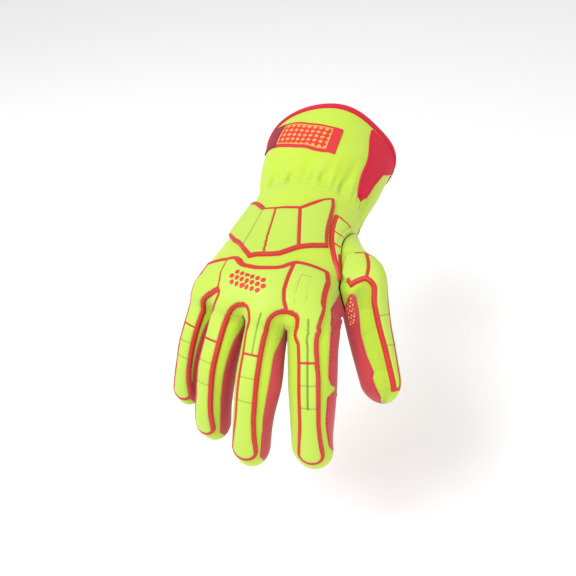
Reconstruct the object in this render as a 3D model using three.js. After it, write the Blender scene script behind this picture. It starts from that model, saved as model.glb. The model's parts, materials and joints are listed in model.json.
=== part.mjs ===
// A right-hand impact work glove with a slip-on cuff, worn by nobody, its fingers hanging in a relaxed bend.
// Millimetres, +Z up. The origin is the middle of the wrist. The fingers point along -Y and hang down, the
// cuff opens along +Y, the back of the hand faces +Z and the thumb is on the +X side.
import * as THREE from "three";

const rad = THREE.MathUtils.degToRad;
const lerp = THREE.MathUtils.lerp;
const clamp = THREE.MathUtils.clamp;

// Walls and the small gaps between sewn or moulded pieces
const backCloth = 1.6;
const palmLeather = 1.8;
const cuffCloth = 1.5;
const seamGap = 0.3;
const cuffGap = 0.45;
const thumbSeamGap = 0.5;
const collarGap = 0.8;

// The hand's body at the wrist and at the knuckles, as half widths and as heights above and below the middle
const wristHalfWidth = 43;
const wristBack = 29;
const wristPalm = 31;
const palmThumbHalf = 48;
const palmLittleHalf = 40;
const knuckleBack = 18;
const knucklePalm = 20;
// Shares of the way from the wrist's sizes to the knuckles', and how square the section is, at the wrist (0), the
// knuckles (1) and the webs (2)
const bodySections = [
  { at: 0.0, wide: 0.0, back: 0.0, palm: 0.0, square: 2.0 },
  { at: 0.35, wide: 0.45, back: 0.5, palm: 0.3, square: 2.2 },
  { at: 0.7, wide: 0.95, back: 0.9, palm: 0.7, square: 2.4 },
  { at: 1.0, wide: 1.0, back: 1.0, palm: 1.0, square: 2.9 },
  { at: 2.0, wide: 0.95, back: 0.95, palm: 0.95, square: 4.4 },
];
const bodyEnds = 0.9;

// The fingers: half the width, the knuckle's place, the sideways spread and the roll of the back in degrees, and
// the middle of the guard's strip as a share of the way across
const fingers = [
  { name: "little", half: 12, knuckle: [-35, -84, 0], spread: -22, roll: 0, strip: 0.58 },
  { name: "ring", half: 12.5, knuckle: [-14, -94, 4], spread: -11, roll: -4, strip: 0.46 },
  { name: "middle", half: 13.5, knuckle: [10, -100, 5], spread: 0, roll: 3, strip: 0.5 },
  { name: "index", half: 15.5, knuckle: [36, -97, 3], spread: 15, roll: 11, strip: 0.52 },
];
// Their bones' lengths, and the bend in degrees at the joint that each bone starts from
const fingerBones = [
  { lengths: [45, 25, 27], bends: [54, 10, 6] },
  { lengths: [51, 31, 29], bends: [48, 19, 11] },
  { lengths: [52, 32, 28], bends: [45, 16, 10] },
  { lengths: [49, 29, 28], bends: [47, 14, 8] },
];
const jointReach = [16, 11, 9];
const fingerWeb = 17;
const fingertipRound = 1.05;
// Finger sections along the free length, as shares of the half width
const fingerSections = [
  { at: 0.0, wide: 1.0, back: 0.95, palm: 1.1 },
  { at: 0.35, wide: 1.0, back: 0.95, palm: 1.08 },
  { at: 0.62, wide: 0.96, back: 0.88, palm: 1.02 },
  { at: 0.85, wide: 0.93, back: 0.8, palm: 0.95 },
  { at: 1.0, wide: 0.88, back: 0.76, palm: 0.88 },
];

// The four rays, each a finger and the bone behind it: where they start across the wrist as shares of its half
// width, their borders in degrees round the hand, and how far a border's pull reaches into a ray
const rayShares = [-0.75, -0.25, 0.25, 0.75];
const rayBorders = [180, 120, 90, 60, 0];
const raySettle = 0.45;
const pullReach = 0.6;
const pullFade = 4;

// Degrees that the seam between back and palm lies below the middle of a finger's flank, there and at the tip
const flankSeam = -10;
const tipSeam = 34;

// The opening in the hand's side that the thumb is sewn into: its ends along the hand, how far it opens over the
// back and under the palm in degrees, and the skin's bulge beside its knuckle end
const thumbHoleFrom = 0.14;
const thumbHoleTo = 0.9;
const thumbHoleBack = 34;
const thumbHolePalm = 62;
const thumbHoleDip = 18;
const thumbHoleFull = 0.8;
const thumbWeb = 11;
const thumbWebAt = 0.95;
const thumbWebReach = 0.35;
const thumbWebSlope = 2.5;

// The thumb: its joints and tip, the way its back faces, and the seams to either side of its back in degrees
const thumbRoot = [28, -22, -8];
const thumbKnuckle = [55, -60, 4];
const thumbJoint = [72, -89, -24];
const thumbTip = [90, -119, -50];
const thumbFacing = [0.86, 0.09, 0.51];
const thumbSeamOuter = -75;
const thumbSeamInner = 125;
const thumbHalf = 14.5;
// Thumb sections from the knuckle to the tip, as shares of the half width
const thumbSections = [
  { at: 0.0, wide: 1.22, back: 1.12, palm: 1.2 },
  { at: 0.35, wide: 1.02, back: 0.98, palm: 1.05 },
  { at: 0.62, wide: 1.0, back: 0.92, palm: 0.98 },
  { at: 0.85, wide: 0.98, back: 0.82, palm: 0.92 },
  { at: 1.0, wide: 0.9, back: 0.76, palm: 0.84 },
];
const thumbFreeFrom = 0.3;
const thumbCollarPull = 0.9;
const thumbBulge = 8;

// The cuff: its length, its rise and its rim's slant in degrees, the rim's half sizes, and the flat on the rim
const cuffLength = 86;
const cuffRise = 7;
const rimSlant = 7;
const rimFlat = 6;
const rimFlatAt = 40;
const rimThumbHalf = 51;
const rimLittleHalf = 59;
const rimHalfHeight = 45;
// Shares of the way from the wrist's size to the rim's, and of the gathers that elastic draws in
const cuffSections = [
  { at: 0.0, grow: 0.0, draw: 0.0 },
  { at: 0.1, grow: 0.04, draw: 0.6 },
  { at: 0.2, grow: 0.12, draw: 1.0 },
  { at: 0.32, grow: 0.28, draw: 0.5 },
  { at: 0.5, grow: 0.55, draw: 0.0 },
  { at: 0.75, grow: 0.85, draw: 0.0 },
  { at: 1.0, grow: 1.0, draw: 0.0 },
];
const gatherCount = 10;
const gatherDepth = 1.4;
const gatherWaist = 1.5;
const bindingWide = 6;
const bindingThick = 1.2;
const patchThick = 1.2;

// The moulded guards: a thin red base with raised yellow pads on it. Each pad is drawn in by shares of its cell.
const plateGap = 0.45;
const baseThick = 1.1;
const padThick = 1.7;
const padInset = [0.05, 0.08];
// The wrist guard, row by row from the little finger's side: its upper and lower edge as places across the hand
// (0 to 4 over the rays) and along it. Each pad runs from one row to another.
const wristGuard = [
  { top: [0.46, 0.1], bottom: [0.24, 0.54] },
  { top: [0.8, 0.2], bottom: [0.79, 0.735] },
  { top: [1.13, 0.32], bottom: [1.25, 0.83] },
  { top: [1.34, 0.315], bottom: [1.67, 0.89] },
  { top: [1.55, 0.31], bottom: [2.04, 0.84] },
  { top: [1.9, 0.285], bottom: [2.43, 0.79] },
  { top: [2.27, 0.262], bottom: [2.8, 0.685] },
  { top: [2.65, 0.155], bottom: [3.1, 0.63] },
  { top: [3.08, 0.06], bottom: [3.5, 0.57] },
];
const wristPads = [
  { from: 0.12, to: 2 },
  { from: 2, to: 4 },
  { from: 4, to: 6 },
  { from: 6, to: 7.88 },
];
// The knuckle guard's upper edge, and its borders between the fingers there and at the webs
const knuckleTop = [
  { at: 0.4, along: 0.96 },
  { at: 1.33, along: 0.9 },
  { at: 1.7, along: 0.93 },
  { at: 2.59, along: 0.895 },
  { at: 2.9, along: 0.82 },
  { at: 3.5, along: 0.81 },
];
const knuckleBorders = [
  { top: 0.55, web: 0.45 },
  { top: 1.04, web: 1.27 },
  { top: 2.04, web: 2.1 },
  { top: 2.91, web: 3.03 },
  { top: 3.43, web: 3.56 },
];
const knuckleWeb = 1.38;
const guardLip = 0.07;
const borderGroove = 0.03;
const topGroove = 0.035;
// The guard's strips down the fingers: where they start and end, their half widths and the blocks' borders
const stripFrom = 2.05;
const stripEnd = 2.82;
const baseHalf = 0.2;
const padHalf = 0.135;
const stripGroove = 0.008;
const blockRows = [2.2, 2.335, 2.465];
// The saddle guard between wrist and thumb, as places along the thumb's opening and across its seam
const saddleGuard = [
  { top: [0.1, -0.74], bottom: [0.12, -0.1] },
  { top: [0.2, -0.69], bottom: [0.22, -0.08] },
  { top: [0.35, -0.59], bottom: [0.35, -0.07] },
  { top: [0.5, -0.48], bottom: [0.5, -0.06] },
  { top: [0.7, -0.34], bottom: [0.65, -0.05] },
  { top: [0.86, -0.13], bottom: [0.8, -0.04] },
];
const saddlePads = [
  { from: 0.15, to: 2 },
  { from: 2, to: 3 },
  { from: 3, to: 4.7 },
];
// The thumb guard's edges along the thumb, and its pads
const thumbGuard = [
  { at: 0.12, from: 0.5, to: 0.78 },
  { at: 0.3, from: 0.34, to: 0.82 },
  { at: 0.5, from: 0.28, to: 0.7 },
  { at: 0.7, from: 0.32, to: 0.62 },
  { at: 1.05, from: 0.36, to: 0.61 },
  { at: 1.5, from: 0.38, to: 0.58 },
  { at: 1.9, from: 0.4, to: 0.56 },
];
const thumbPads = [
  { from: 0.17, to: 0.48 },
  { from: 0.52, to: 1.08 },
  { from: 1.11, to: 1.42 },
  { from: 1.45, to: 1.86 },
];
const thumbLip = 0.035;
// The patch over the crotch between thumb and index finger, on the thumb's collar beside the hand
const crotchPatch = [
  { top: [0.84, 0.4], bottom: [0.985, 0.4] },
  { top: [0.83, 0.7], bottom: [0.985, 0.7] },
  { top: [0.86, 1.0], bottom: [0.985, 1.0] },
  { top: [0.9, 1.2], bottom: [0.985, 1.2] },
];
// The cuff's side gusset and its woven label, as places round the cuff in degrees and along it
const gusset = [
  { top: [46, 0.9], bottom: [-12, 0.9] },
  { top: [44, 0.78], bottom: [-8, 0.8] },
  { top: [37, 0.55], bottom: [4, 0.66] },
  { top: [36, 0.38], bottom: [10, 0.45] },
  { top: [35, 0.2], bottom: [24, 0.17] },
];
const label = [
  { top: [148, 0.93], bottom: [159, 0.66] },
  { top: [126, 0.82], bottom: [136, 0.56] },
  { top: [104, 0.735], bottom: [113, 0.47] },
  { top: [88, 0.705], bottom: [92, 0.42] },
  { top: [73, 0.7], bottom: [72.5, 0.41] },
];

// Places of the surface rows along the hand, the thumb and the cuff, closer together where the form turns quickly
const backRows = [0, 0.14, 0.3, 0.45, 0.6, 0.74, 0.86, 1, 1.2];
const webRows = [1.45, 1.7, 1.88, 1.96, 2];
const fingerRows = [2.12, 2.26, 2.4, 2.54, 2.68, 2.8];
const tipTurns = [0, 30, 55, 75, 90];
const thumbRows = [0, 0.16, 0.32, 0.48, 0.64, 0.82, 1, 1.15, 1.3, 1.45, 1.6];
const cuffRows = [0, 0.08, 0.16, 0.24, 0.34, 0.55, 0.78, 1];
const knuckleRows = [0, 0.5, 1, 1.1, 1.2, 1.32, 1.45, 1.58, 1.7, 1.88];
const stripRows = [1.96, 2, 2.06, 2.12, 2.26, 2.4, 2.54, 2.68];
const backColumns = 5;
const palmColumns = 4;
const thumbBackColumns = 8;
const thumbPalmColumns = 6;
const columnsPerGather = 4;

const cloth = (colour, rough) => new THREE.MeshStandardMaterial({ color: colour, roughness: rough });
const looks = {
  yellowCloth: cloth(0xc6f229, 0.85),
  redLeather: cloth(0xc8343f, 0.8),
  redCloth: cloth(0xd1203c, 0.85),
  redRubber: cloth(0xdf2a1f, 0.5),
  yellowRubber: cloth(0xd3f455, 0.45),
  label: cloth(0xb8202a, 0.8),
};

const glove = new THREE.Group();

const smooth = (t) => {
  const k = clamp(t, 0, 1);
  return k * k * (3 - 2 * k);
};

// A value read smoothly from a table of rows, by its "at" column
function readTable(rows, at, column) {
  let i = 0;
  while (i < rows.length - 2 && at > rows[i + 1].at) i++;
  const t = clamp((at - rows[i].at) / (rows[i + 1].at - rows[i].at), 0, 1);
  const before = rows[Math.max(i - 1, 0)][column];
  const a = rows[i][column];
  const b = rows[i + 1][column];
  const after = rows[Math.min(i + 2, rows.length - 1)][column];
  const square = 2 * before - 5 * a + 4 * b - after;
  const cube = 3 * (a - b) + after - before;
  return a + 0.5 * ((b - before) * t + square * t ** 2 + cube * t ** 3);
}

// The way a ray leads when it has turned sideways and dropped by these angles
const leading = (turn, drop) => {
  const level = Math.cos(drop);
  return new THREE.Vector3(Math.sin(turn) * level, -Math.cos(turn) * level, -Math.sin(drop));
};

// A ray's middle line, followed a millimetre at a time from the wrist to the fingertip
function makeRay(finger, index) {
  const { lengths, bends } = fingerBones[index];
  const start = new THREE.Vector3(rayShares[index] * wristHalfWidth, 0, 0);
  const toKnuckle = new THREE.Vector3(...finger.knuckle).sub(start);
  const bone = toKnuckle.length();
  const boneTurn = Math.atan2(toKnuckle.x, -toKnuckle.y);
  const boneDrop = -Math.asin(toKnuckle.z / bone);
  const joints = [bone, bone + lengths[0], bone + lengths[0] + lengths[1]];
  const length = joints[2] + lengths[2];
  const passed = (s, k) => smooth((s - joints[k] + jointReach[k]) / (2 * jointReach[k]));
  const turnAt = (s) => lerp(boneTurn, rad(finger.spread), passed(s, 0));
  const dropAt = (s) => {
    const knuckled = lerp(boneDrop, rad(bends[0]), passed(s, 0));
    return knuckled + rad(bends[1]) * passed(s, 1) + rad(bends[2]) * passed(s, 2);
  };
  const points = [start];
  for (let s = 0; s < length; s++) {
    const step = leading(turnAt(s + 0.5), dropAt(s + 0.5));
    points.push(points[s].clone().addScaledVector(step, Math.min(1, length - s)));
  }
  const frameAt = (s) => {
    const i = clamp(Math.floor(s), 0, points.length - 2);
    const centre = points[i].clone().lerp(points[i + 1], clamp((s - i) / Math.min(1, length - i), 0, 1));
    const settled = smooth(s / (raySettle * bone));
    const turn = turnAt(s) * settled;
    const drop = dropAt(s) * settled;
    const along = leading(turn, drop);
    const roll = rad(finger.roll) * passed(s, 0);
    const side = new THREE.Vector3(Math.cos(turn), Math.sin(turn), 0).applyAxisAngle(along, roll);
    return { centre, along, side, up: along.clone().cross(side) };
  };
  const webAt = bone + fingerWeb;
  const station = (u) => {
    if (u < 1) return u * bone;
    return u < 2 ? bone + (u - 1) * fingerWeb : webAt + (u - 2) * (length - webAt);
  };
  return { frameAt, station, length, webAt, round: finger.half * fingertipRound };
}
const rays = fingers.map(makeRay);
const lastRay = rays.length - 1;

// Degrees that the seam lies below the middle of the flank, past the web
const seamDrop = (u) => lerp(flankSeam * smooth((u - 2) / 0.25), tipSeam, smooth((u - 2.55) / 0.45));

// Degrees that the thumb's opening reaches round the hand from its thumb edge, on the back or the palm
const holeReach = (u, side) => {
  const share = clamp((u - thumbHoleFrom) / (thumbHoleTo - thumbHoleFrom), 0, 1);
  const open = Math.sin(Math.PI * share) ** thumbHoleFull;
  return open * (side > 0 ? thumbHoleBack : thumbHolePalm) - side * thumbHoleDip * smooth(share);
};

// A point of one ray's skin before it is joined to its neighbours. Side is 1 on the back and -1 on the palm,
// q runs from 0 at the little-finger edge to 1 at the thumb edge, and u is 0 at the wrist, 1 at the knuckle,
// 2 at the web and 3 at the tip.
function rayPoint(index, q, u, side) {
  const ray = rays[index];
  const s = ray.station(u);
  const frame = ray.frameAt(s);
  const half = fingers[index].half;

  const edge = index === lastRay ? holeReach(u, side) : rayBorders[index + 1];
  const bodyTurn = rad(lerp(rayBorders[index], edge, q)) * side;
  const across = Math.cos(bodyTurn);
  const palmHalf = across > 0 ? palmThumbHalf : palmLittleHalf;
  const wide = lerp(wristHalfWidth, palmHalf, readTable(bodySections, u, "wide"));
  const above = Math.sin(bodyTurn) > 0;
  const backDeep = lerp(wristBack, knuckleBack, readTable(bodySections, u, "back"));
  const palmDeep = lerp(wristPalm, knucklePalm, readTable(bodySections, u, "palm"));
  const square = readTable(bodySections, u, "square");
  const below = clamp(-thumbWebSlope * Math.sin(bodyTurn), 0, 1) * Math.max(across, 0);
  const web = thumbWeb * below * Math.exp(-(((u - thumbWebAt) / thumbWebReach) ** 2));
  const bodyX = (across - rayShares[index]) * wide + web;
  const bodyZ = (above ? backDeep : -palmDeep) * (1 - Math.abs(across) ** square) ** (1 / square);

  const low = u > 2 ? -seamDrop(u) * side : 0;
  const fingerTurn = rad(lerp(180 - low, low, q)) * side;
  const along = clamp(u - 2, 0, 1);
  const cap = clamp((s - (ray.length - ray.round)) / ray.round, 0, 1);
  const shrink = Math.sqrt(1 - cap ** 2) * half;
  const sine = Math.sin(fingerTurn);
  const fingerX = Math.cos(fingerTurn) * shrink * readTable(fingerSections, along, "wide");
  const fingerZ = sine * shrink * readTable(fingerSections, along, sine > 0 ? "back" : "palm");

  const into = clamp((u - bodyEnds) / (2 - bodyEnds), 0, 1);
  const mix = 1 - Math.sqrt(1 - into ** 2);
  return frame.centre
    .clone()
    .addScaledVector(frame.side, lerp(bodyX, fingerX, mix))
    .addScaledVector(frame.up, lerp(bodyZ, fingerZ, mix) + (side * seamGap) / 2);
}

// The pull that brings a ray's edge onto the line that it shares with its neighbour
function edgePull(index, neighbour, q, u, side) {
  if (neighbour < 0 || neighbour > lastRay) return new THREE.Vector3();
  const at = Math.min(u, 2);
  const mine = rayPoint(index, q, at, side);
  const shared = mine.clone().add(rayPoint(neighbour, 1 - q, at, side)).multiplyScalar(0.5);
  return shared.sub(mine).multiplyScalar(Math.exp(-pullFade * Math.max(u - 2, 0)));
}

// A point of the hand's skin, by finger, or by a place across all four rays
function fingerPoint(index, q, u, side = 1) {
  const towardLittle = clamp(1 - q / pullReach, 0, 1) ** 2;
  const towardThumb = clamp(1 - (1 - q) / pullReach, 0, 1) ** 2;
  return rayPoint(index, q, u, side)
    .addScaledVector(edgePull(index, index - 1, 0, u, side), towardLittle)
    .addScaledVector(edgePull(index, index + 1, 1, u, side), towardThumb);
}
function handPoint(across, u) {
  const index = clamp(Math.floor(across), 0, lastRay);
  return fingerPoint(index, across - index, u);
}

// A sheet is a surface of four-sided faces. Points at one place are one vertex.
class Sheet {
  points = [];
  faces = [];
  hints = [];
  found = new Map();
  vertex(point, hint) {
    const key = [point.x, point.y, point.z].map((v) => Math.round(v * 50)).join();
    if (!this.found.has(key)) {
      this.found.set(key, this.points.length);
      this.points.push(point);
      this.hints.push(hint);
    }
    return this.found.get(key);
  }
  // Adds a patch: place(a, b) gives the point at shares a and b, each from 0 to 1
  patch(place, aSteps, bSteps, hintAt = () => null) {
    const id = (i, j) => this.vertex(place(i / aSteps, j / bSteps), hintAt(i / aSteps, j / bSteps));
    for (let i = 0; i < aSteps; i++)
      for (let j = 0; j < bSteps; j++) {
        const corners = [id(i, j), id(i + 1, j), id(i + 1, j + 1), id(i, j + 1)];
        const face = corners.filter((v, k) => corners.indexOf(v) === k);
        if (face.length > 2) this.faces.push(face);
      }
    return this;
  }
  triangles() {
    return this.faces.flatMap(([a, b, c, d]) => (d === undefined ? [[a, b, c]] : [[a, b, c], [a, c, d]]));
  }
  // The edges with a face on one side only, each in its face's direction
  rim() {
    const edges = new Map();
    for (const face of this.faces)
      face.forEach((v, k) => {
        const next = face[(k + 1) % face.length];
        edges.set(v + "," + next, [v, next]);
      });
    return [...edges.values()].filter(([a, b]) => !edges.has(b + "," + a));
  }
  normals() {
    const sums = this.points.map(() => new THREE.Vector3());
    for (const [a, b, c] of this.triangles()) {
      const ab = this.points[b].clone().sub(this.points[a]);
      const ac = this.points[c].clone().sub(this.points[a]);
      const normal = ab.cross(ac);
      [a, b, c].forEach((v) => sums[v].add(normal));
    }
    return sums.map((n) => n.normalize());
  }
}

function closedMesh(points, triangles, name, look) {
  let volume = 0;
  for (const [a, b, c] of triangles) volume += points[a].dot(points[b].clone().cross(points[c]));
  const outward = volume < 0 ? triangles.map(([a, b, c]) => [a, c, b]) : triangles;
  const geometry = new THREE.BufferGeometry();
  geometry.setAttribute("position", new THREE.Float32BufferAttribute(points.flatMap((p) => p.toArray()), 3));
  geometry.setIndex(outward.flat());
  const flat = geometry.toNonIndexed();
  flat.computeVertexNormals();
  const mesh = new THREE.Mesh(flat, look);
  mesh.name = name;
  glove.add(mesh);
}

// The solid between two layers of a sheet's faces, closed round their rim
function between(sheet, upper, lower, name, look) {
  const count = sheet.points.length;
  const top = sheet.triangles();
  const under = top.map(([a, b, c]) => [a + count, c + count, b + count]);
  const walls = sheet.rim().flatMap(([a, b]) => [[b, a, a + count], [b, a + count, b + count]]);
  closedMesh([...upper, ...lower], [...top, ...under, ...walls], name, look);
}

// A sewn wall. It thickens inward against its normals, and on its rim against the hint's way out.
function sewnWall(sheet, thick, name, look) {
  const normals = sheet.normals();
  const rim = new Set(sheet.rim().flat());
  const inner = sheet.points.map((p, i) => {
    const { middle, out } = sheet.hints[i];
    const facesIn = normals[i].dot(p.clone().sub(middle)) < 0;
    const away = rim.has(i) && out ? out : normals[i].clone().multiplyScalar(facesIn ? -1 : 1);
    return p.clone().addScaledVector(away, -thick);
  });
  between(sheet, sheet.points, inner, name, look);
}

// The hand's rows, which gather towards the round of each fingertip
function rowsOf(ray) {
  const capFrom = 3 - ray.round / (ray.length - ray.webAt);
  const straight = fingerRows.filter((u) => u < capFrom - 0.03);
  const round = tipTurns.map((turn) => capFrom + (3 - capFrom) * Math.sin(rad(turn)));
  return [...backRows, ...webRows, ...straight, ...round];
}

// What the hand's wall needs at a vertex: the ray's middle, and the way out of the wall there
function handHint(index, q, u, side) {
  const ray = rays[index];
  const { centre: middle, along } = ray.frameAt(ray.station(u));
  const point = fingerPoint(index, q, u, side);
  const atCrotch = u === 2 && ((q === 0 && index > 0) || (q === 1 && index < lastRay));
  if (u === 3 || atCrotch) return { middle, out: along };
  if (u === 0) {
    const deep = side > 0 ? wristBack : wristPalm;
    return { middle, out: new THREE.Vector3(point.x / wristHalfWidth ** 2, 0, point.z / deep ** 2).normalize() };
  }
  const out = point.sub(middle);
  return { middle, out: out.addScaledVector(along, -out.dot(along)).normalize() };
}

function handSheet(side, columns) {
  const sheet = new Sheet();
  rays.forEach((ray, index) => {
    const rows = rowsOf(ray);
    const steps = rows.length - 1;
    const at = (b) => rows[Math.round(b * steps)];
    const place = (a, b) => fingerPoint(index, a, at(b), side);
    sheet.patch(place, columns, steps, (a, b) => handHint(index, a, at(b), side));
  });
  return sheet;
}

sewnWall(handSheet(1, backColumns), backCloth, "back_panel", looks.yellowCloth);
sewnWall(handSheet(-1, palmColumns), palmLeather, "palm_panel", looks.redLeather);

// The thumb. Its collar runs from the opening in the hand to a ring, and its tube from there to the tip. V is 0
// at the opening, 1 at the ring and 2 at the tip, and t runs along the opening from its wrist end to its knuckle
// end, over the back or under the palm.
const thumbPlaces = [thumbRoot, thumbKnuckle, thumbJoint, thumbTip].map((p) => new THREE.Vector3(...p));
const thumbLine = new THREE.CatmullRomCurve3(thumbPlaces);
const thumbBack = new THREE.Vector3(...thumbFacing);
const thumbFree = thumbPlaces[1].distanceTo(thumbPlaces[2]) + thumbPlaces[2].distanceTo(thumbPlaces[3]);
const thumbCap = thumbHalf / thumbFree;
function thumbFrame(share) {
  const t = lerp(1 / 3, 1, share);
  const along = thumbLine.getTangent(t);
  const up = thumbBack.clone();
  up.addScaledVector(along, -up.dot(along)).normalize();
  return { centre: thumbLine.getPoint(t), along, up, side: along.clone().cross(up) };
}
function thumbTube(t, share, side) {
  const frame = thumbFrame(share);
  const inner = side > 0 ? thumbSeamInner : thumbSeamInner - 360;
  const turn = rad(lerp(thumbSeamOuter, inner, t));
  const cap = clamp((share - 1 + thumbCap) / thumbCap, 0, 1);
  const half = thumbHalf * Math.sqrt(1 - cap ** 2);
  const up = Math.cos(turn);
  const wide = half * readTable(thumbSections, share, "wide");
  const deep = half * readTable(thumbSections, share, up > 0 ? "back" : "palm");
  return frame.centre
    .clone()
    .addScaledVector(frame.side, Math.sin(turn) * wide)
    .addScaledVector(frame.up, up * deep + (side * thumbSeamGap) / 2);
}
const tubeShare = (v) => lerp(thumbFreeFrom, 1, clamp(v - 1, 0, 1));
function thumbPoint(t, v, side = 1) {
  if (v >= 1) return thumbTube(t, tubeShare(v), side);
  const u = lerp(thumbHoleFrom, thumbHoleTo, t);
  const hole = fingerPoint(lastRay, 1, u, side);
  const ring = thumbTube(t, thumbFreeFrom, side);
  const skinOut = hole.clone().sub(rays[lastRay].frameAt(rays[lastRay].station(u)).centre).normalize();
  const start = hole
    .clone()
    .addScaledVector(ring.clone().sub(hole).normalize(), collarGap)
    .addScaledVector(skinOut, collarGap);
  const leave = ring.clone().sub(start).multiplyScalar(thumbCollarPull);
  const arrive = thumbFrame(thumbFreeFrom).along.clone().multiplyScalar(hole.distanceTo(ring));
  const bulge = side > 0 ? thumbBulge * Math.sin(Math.PI * v) ** 2 * Math.sin(Math.PI * t) : 0;
  return start
    .multiplyScalar(2 * v ** 3 - 3 * v ** 2 + 1)
    .addScaledVector(leave, v ** 3 - 2 * v ** 2 + v)
    .addScaledVector(ring, 3 * v ** 2 - 2 * v ** 3)
    .addScaledVector(arrive, v ** 3 - v ** 2)
    .addScaledVector(thumbBack, bulge);
}

function thumbSheet(side, columns) {
  const capShare = thumbCap / (1 - thumbFreeFrom);
  const tipRows = tipTurns.map((turn) => 2 - capShare + capShare * Math.sin(rad(turn)));
  const rows = [...thumbRows, ...tipRows];
  const steps = rows.length - 1;
  const holeMiddle = fingerPoint(lastRay, 1, 0.5, 1).lerp(fingerPoint(lastRay, 1, 0.5, -1), 0.5);
  const hint = (a, b) => {
    const v = rows[Math.round(b * steps)];
    const middle = thumbFrame(Math.min(tubeShare(v), 1 - thumbCap)).centre;
    if (v < 1) middle.lerp(holeMiddle, 1 - v);
    if (v === 2) return { middle, out: thumbFrame(1).along };
    const point = thumbPoint(a, v, side);
    const seam = thumbPoint(a, v + 0.01, side).sub(point).normalize();
    const out = point.sub(middle);
    const onSeam = a === 0 || a === 1;
    return { middle, out: onSeam ? out.addScaledVector(seam, -out.dot(seam)).normalize() : null };
  };
  const place = (a, b) => thumbPoint(a, rows[Math.round(b * steps)], side);
  return new Sheet().patch(place, columns, steps, hint);
}
sewnWall(thumbSheet(1, thumbBackColumns), backCloth, "thumb_back_panel", looks.yellowCloth);
sewnWall(thumbSheet(-1, thumbPalmColumns), palmLeather, "thumb_palm_panel", looks.redLeather);

// The cuff. Turn is in degrees round it, 0 at the thumb's side and 90 over the back, and s is 0 at the wrist
// and 1 at the rim.
function cuffPoint(turn, s, lift = 0) {
  const grow = readTable(cuffSections, s, "grow");
  const draw = readTable(cuffSections, s, "draw");
  const cos = Math.cos(rad(turn));
  const sin = Math.sin(rad(turn));
  const ripple = draw * (gatherDepth * Math.cos(rad(turn * gatherCount)) - gatherWaist);
  const flat = rimFlat * grow * Math.max(Math.cos(rad(turn - rimFlatAt)), 0) ** 6;
  const extra = ripple + lift - flat;
  const wide = lerp(wristHalfWidth, cos > 0 ? rimThumbHalf : rimLittleHalf, grow) + extra;
  const deep = lerp(sin > 0 ? wristBack : wristPalm, rimHalfHeight, grow) + extra;
  const y = cuffGap + s * (cuffLength + Math.tan(rad(rimSlant)) * wide * cos);
  return new THREE.Vector3(wide * cos, y, deep * sin + Math.tan(rad(cuffRise)) * y);
}
const cuffColumns = columnsPerGather * gatherCount;
function cuffSheet() {
  const steps = cuffRows.length - 1;
  const at = (b) => cuffRows[Math.round(b * steps)];
  const hint = (a, b) => {
    const point = cuffPoint(360 * a, at(b));
    const middle = new THREE.Vector3(0, point.y, 0);
    const out = new THREE.Vector3(point.x / wristHalfWidth ** 2, 0, point.z / wristBack ** 2).normalize();
    return { middle, out: b === 0 ? out : null };
  };
  return new Sheet().patch((a, b) => cuffPoint(360 * a, at(b)), cuffColumns, steps, hint);
}
sewnWall(cuffSheet(), cuffCloth, "cuff", looks.yellowCloth);

// A moulded plate or sewn patch that follows a surface. Each outline(a, b) gives a place on that surface.
function plate(name, look, surface, outlines, steps, lift, thick, facing) {
  const sheet = new Sheet();
  for (const outline of outlines) {
    const place = (a, b) => surface(...outline(a, b));
    sheet.patch(place, steps[0], steps[1], outline);
  }
  const nudge = 0.01;
  const normals = sheet.hints.map(([x, y]) => {
    const alongX = surface(x + nudge, y).sub(surface(x - nudge, y));
    const alongY = surface(x, y + nudge).sub(surface(x, y - nudge));
    return alongX.cross(alongY).normalize().multiplyScalar(facing);
  });
  const raised = (height) => sheet.points.map((p, i) => p.clone().addScaledVector(normals[i], height));
  between(sheet, raised(lift + thick), raised(lift), name, look);
}
const base = (name, surface, outlines, steps, facing) =>
  plate(name, looks.redRubber, surface, outlines, steps, plateGap, baseThick, facing);
const pad = (name, surface, outlines, steps, facing) =>
  plate(name, looks.yellowRubber, surface, outlines, steps, plateGap + baseThick + plateGap, padThick, facing);

// The place in a table of upper and lower edges, at a part row and a share of the way down
function placeAt(rows, row, down) {
  const i = clamp(Math.floor(row), 0, rows.length - 2);
  const edgeAt = (column, k) => lerp(rows[i][column][k], rows[i + 1][column][k], row - i);
  return [0, 1].map((k) => lerp(edgeAt("top", k), edgeAt("bottom", k), down));
}
const cell = (rows, from, to, inset = [0, 0]) => (a, b) =>
  placeAt(rows, lerp(from, to, lerp(inset[0], 1 - inset[0], a)), lerp(inset[1], 1 - inset[1], b));
const whole = (rows) => cell(rows, 0, rows.length - 1);

// The wrist guard
base("wrist_guard_base", handPoint, [whole(wristGuard)], [16, 4], -1);
wristPads.forEach(({ from, to }, i) => {
  pad("wrist_pad_" + (i + 1), handPoint, [cell(wristGuard, from, to, padInset)], [4, 3], -1);
});

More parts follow.
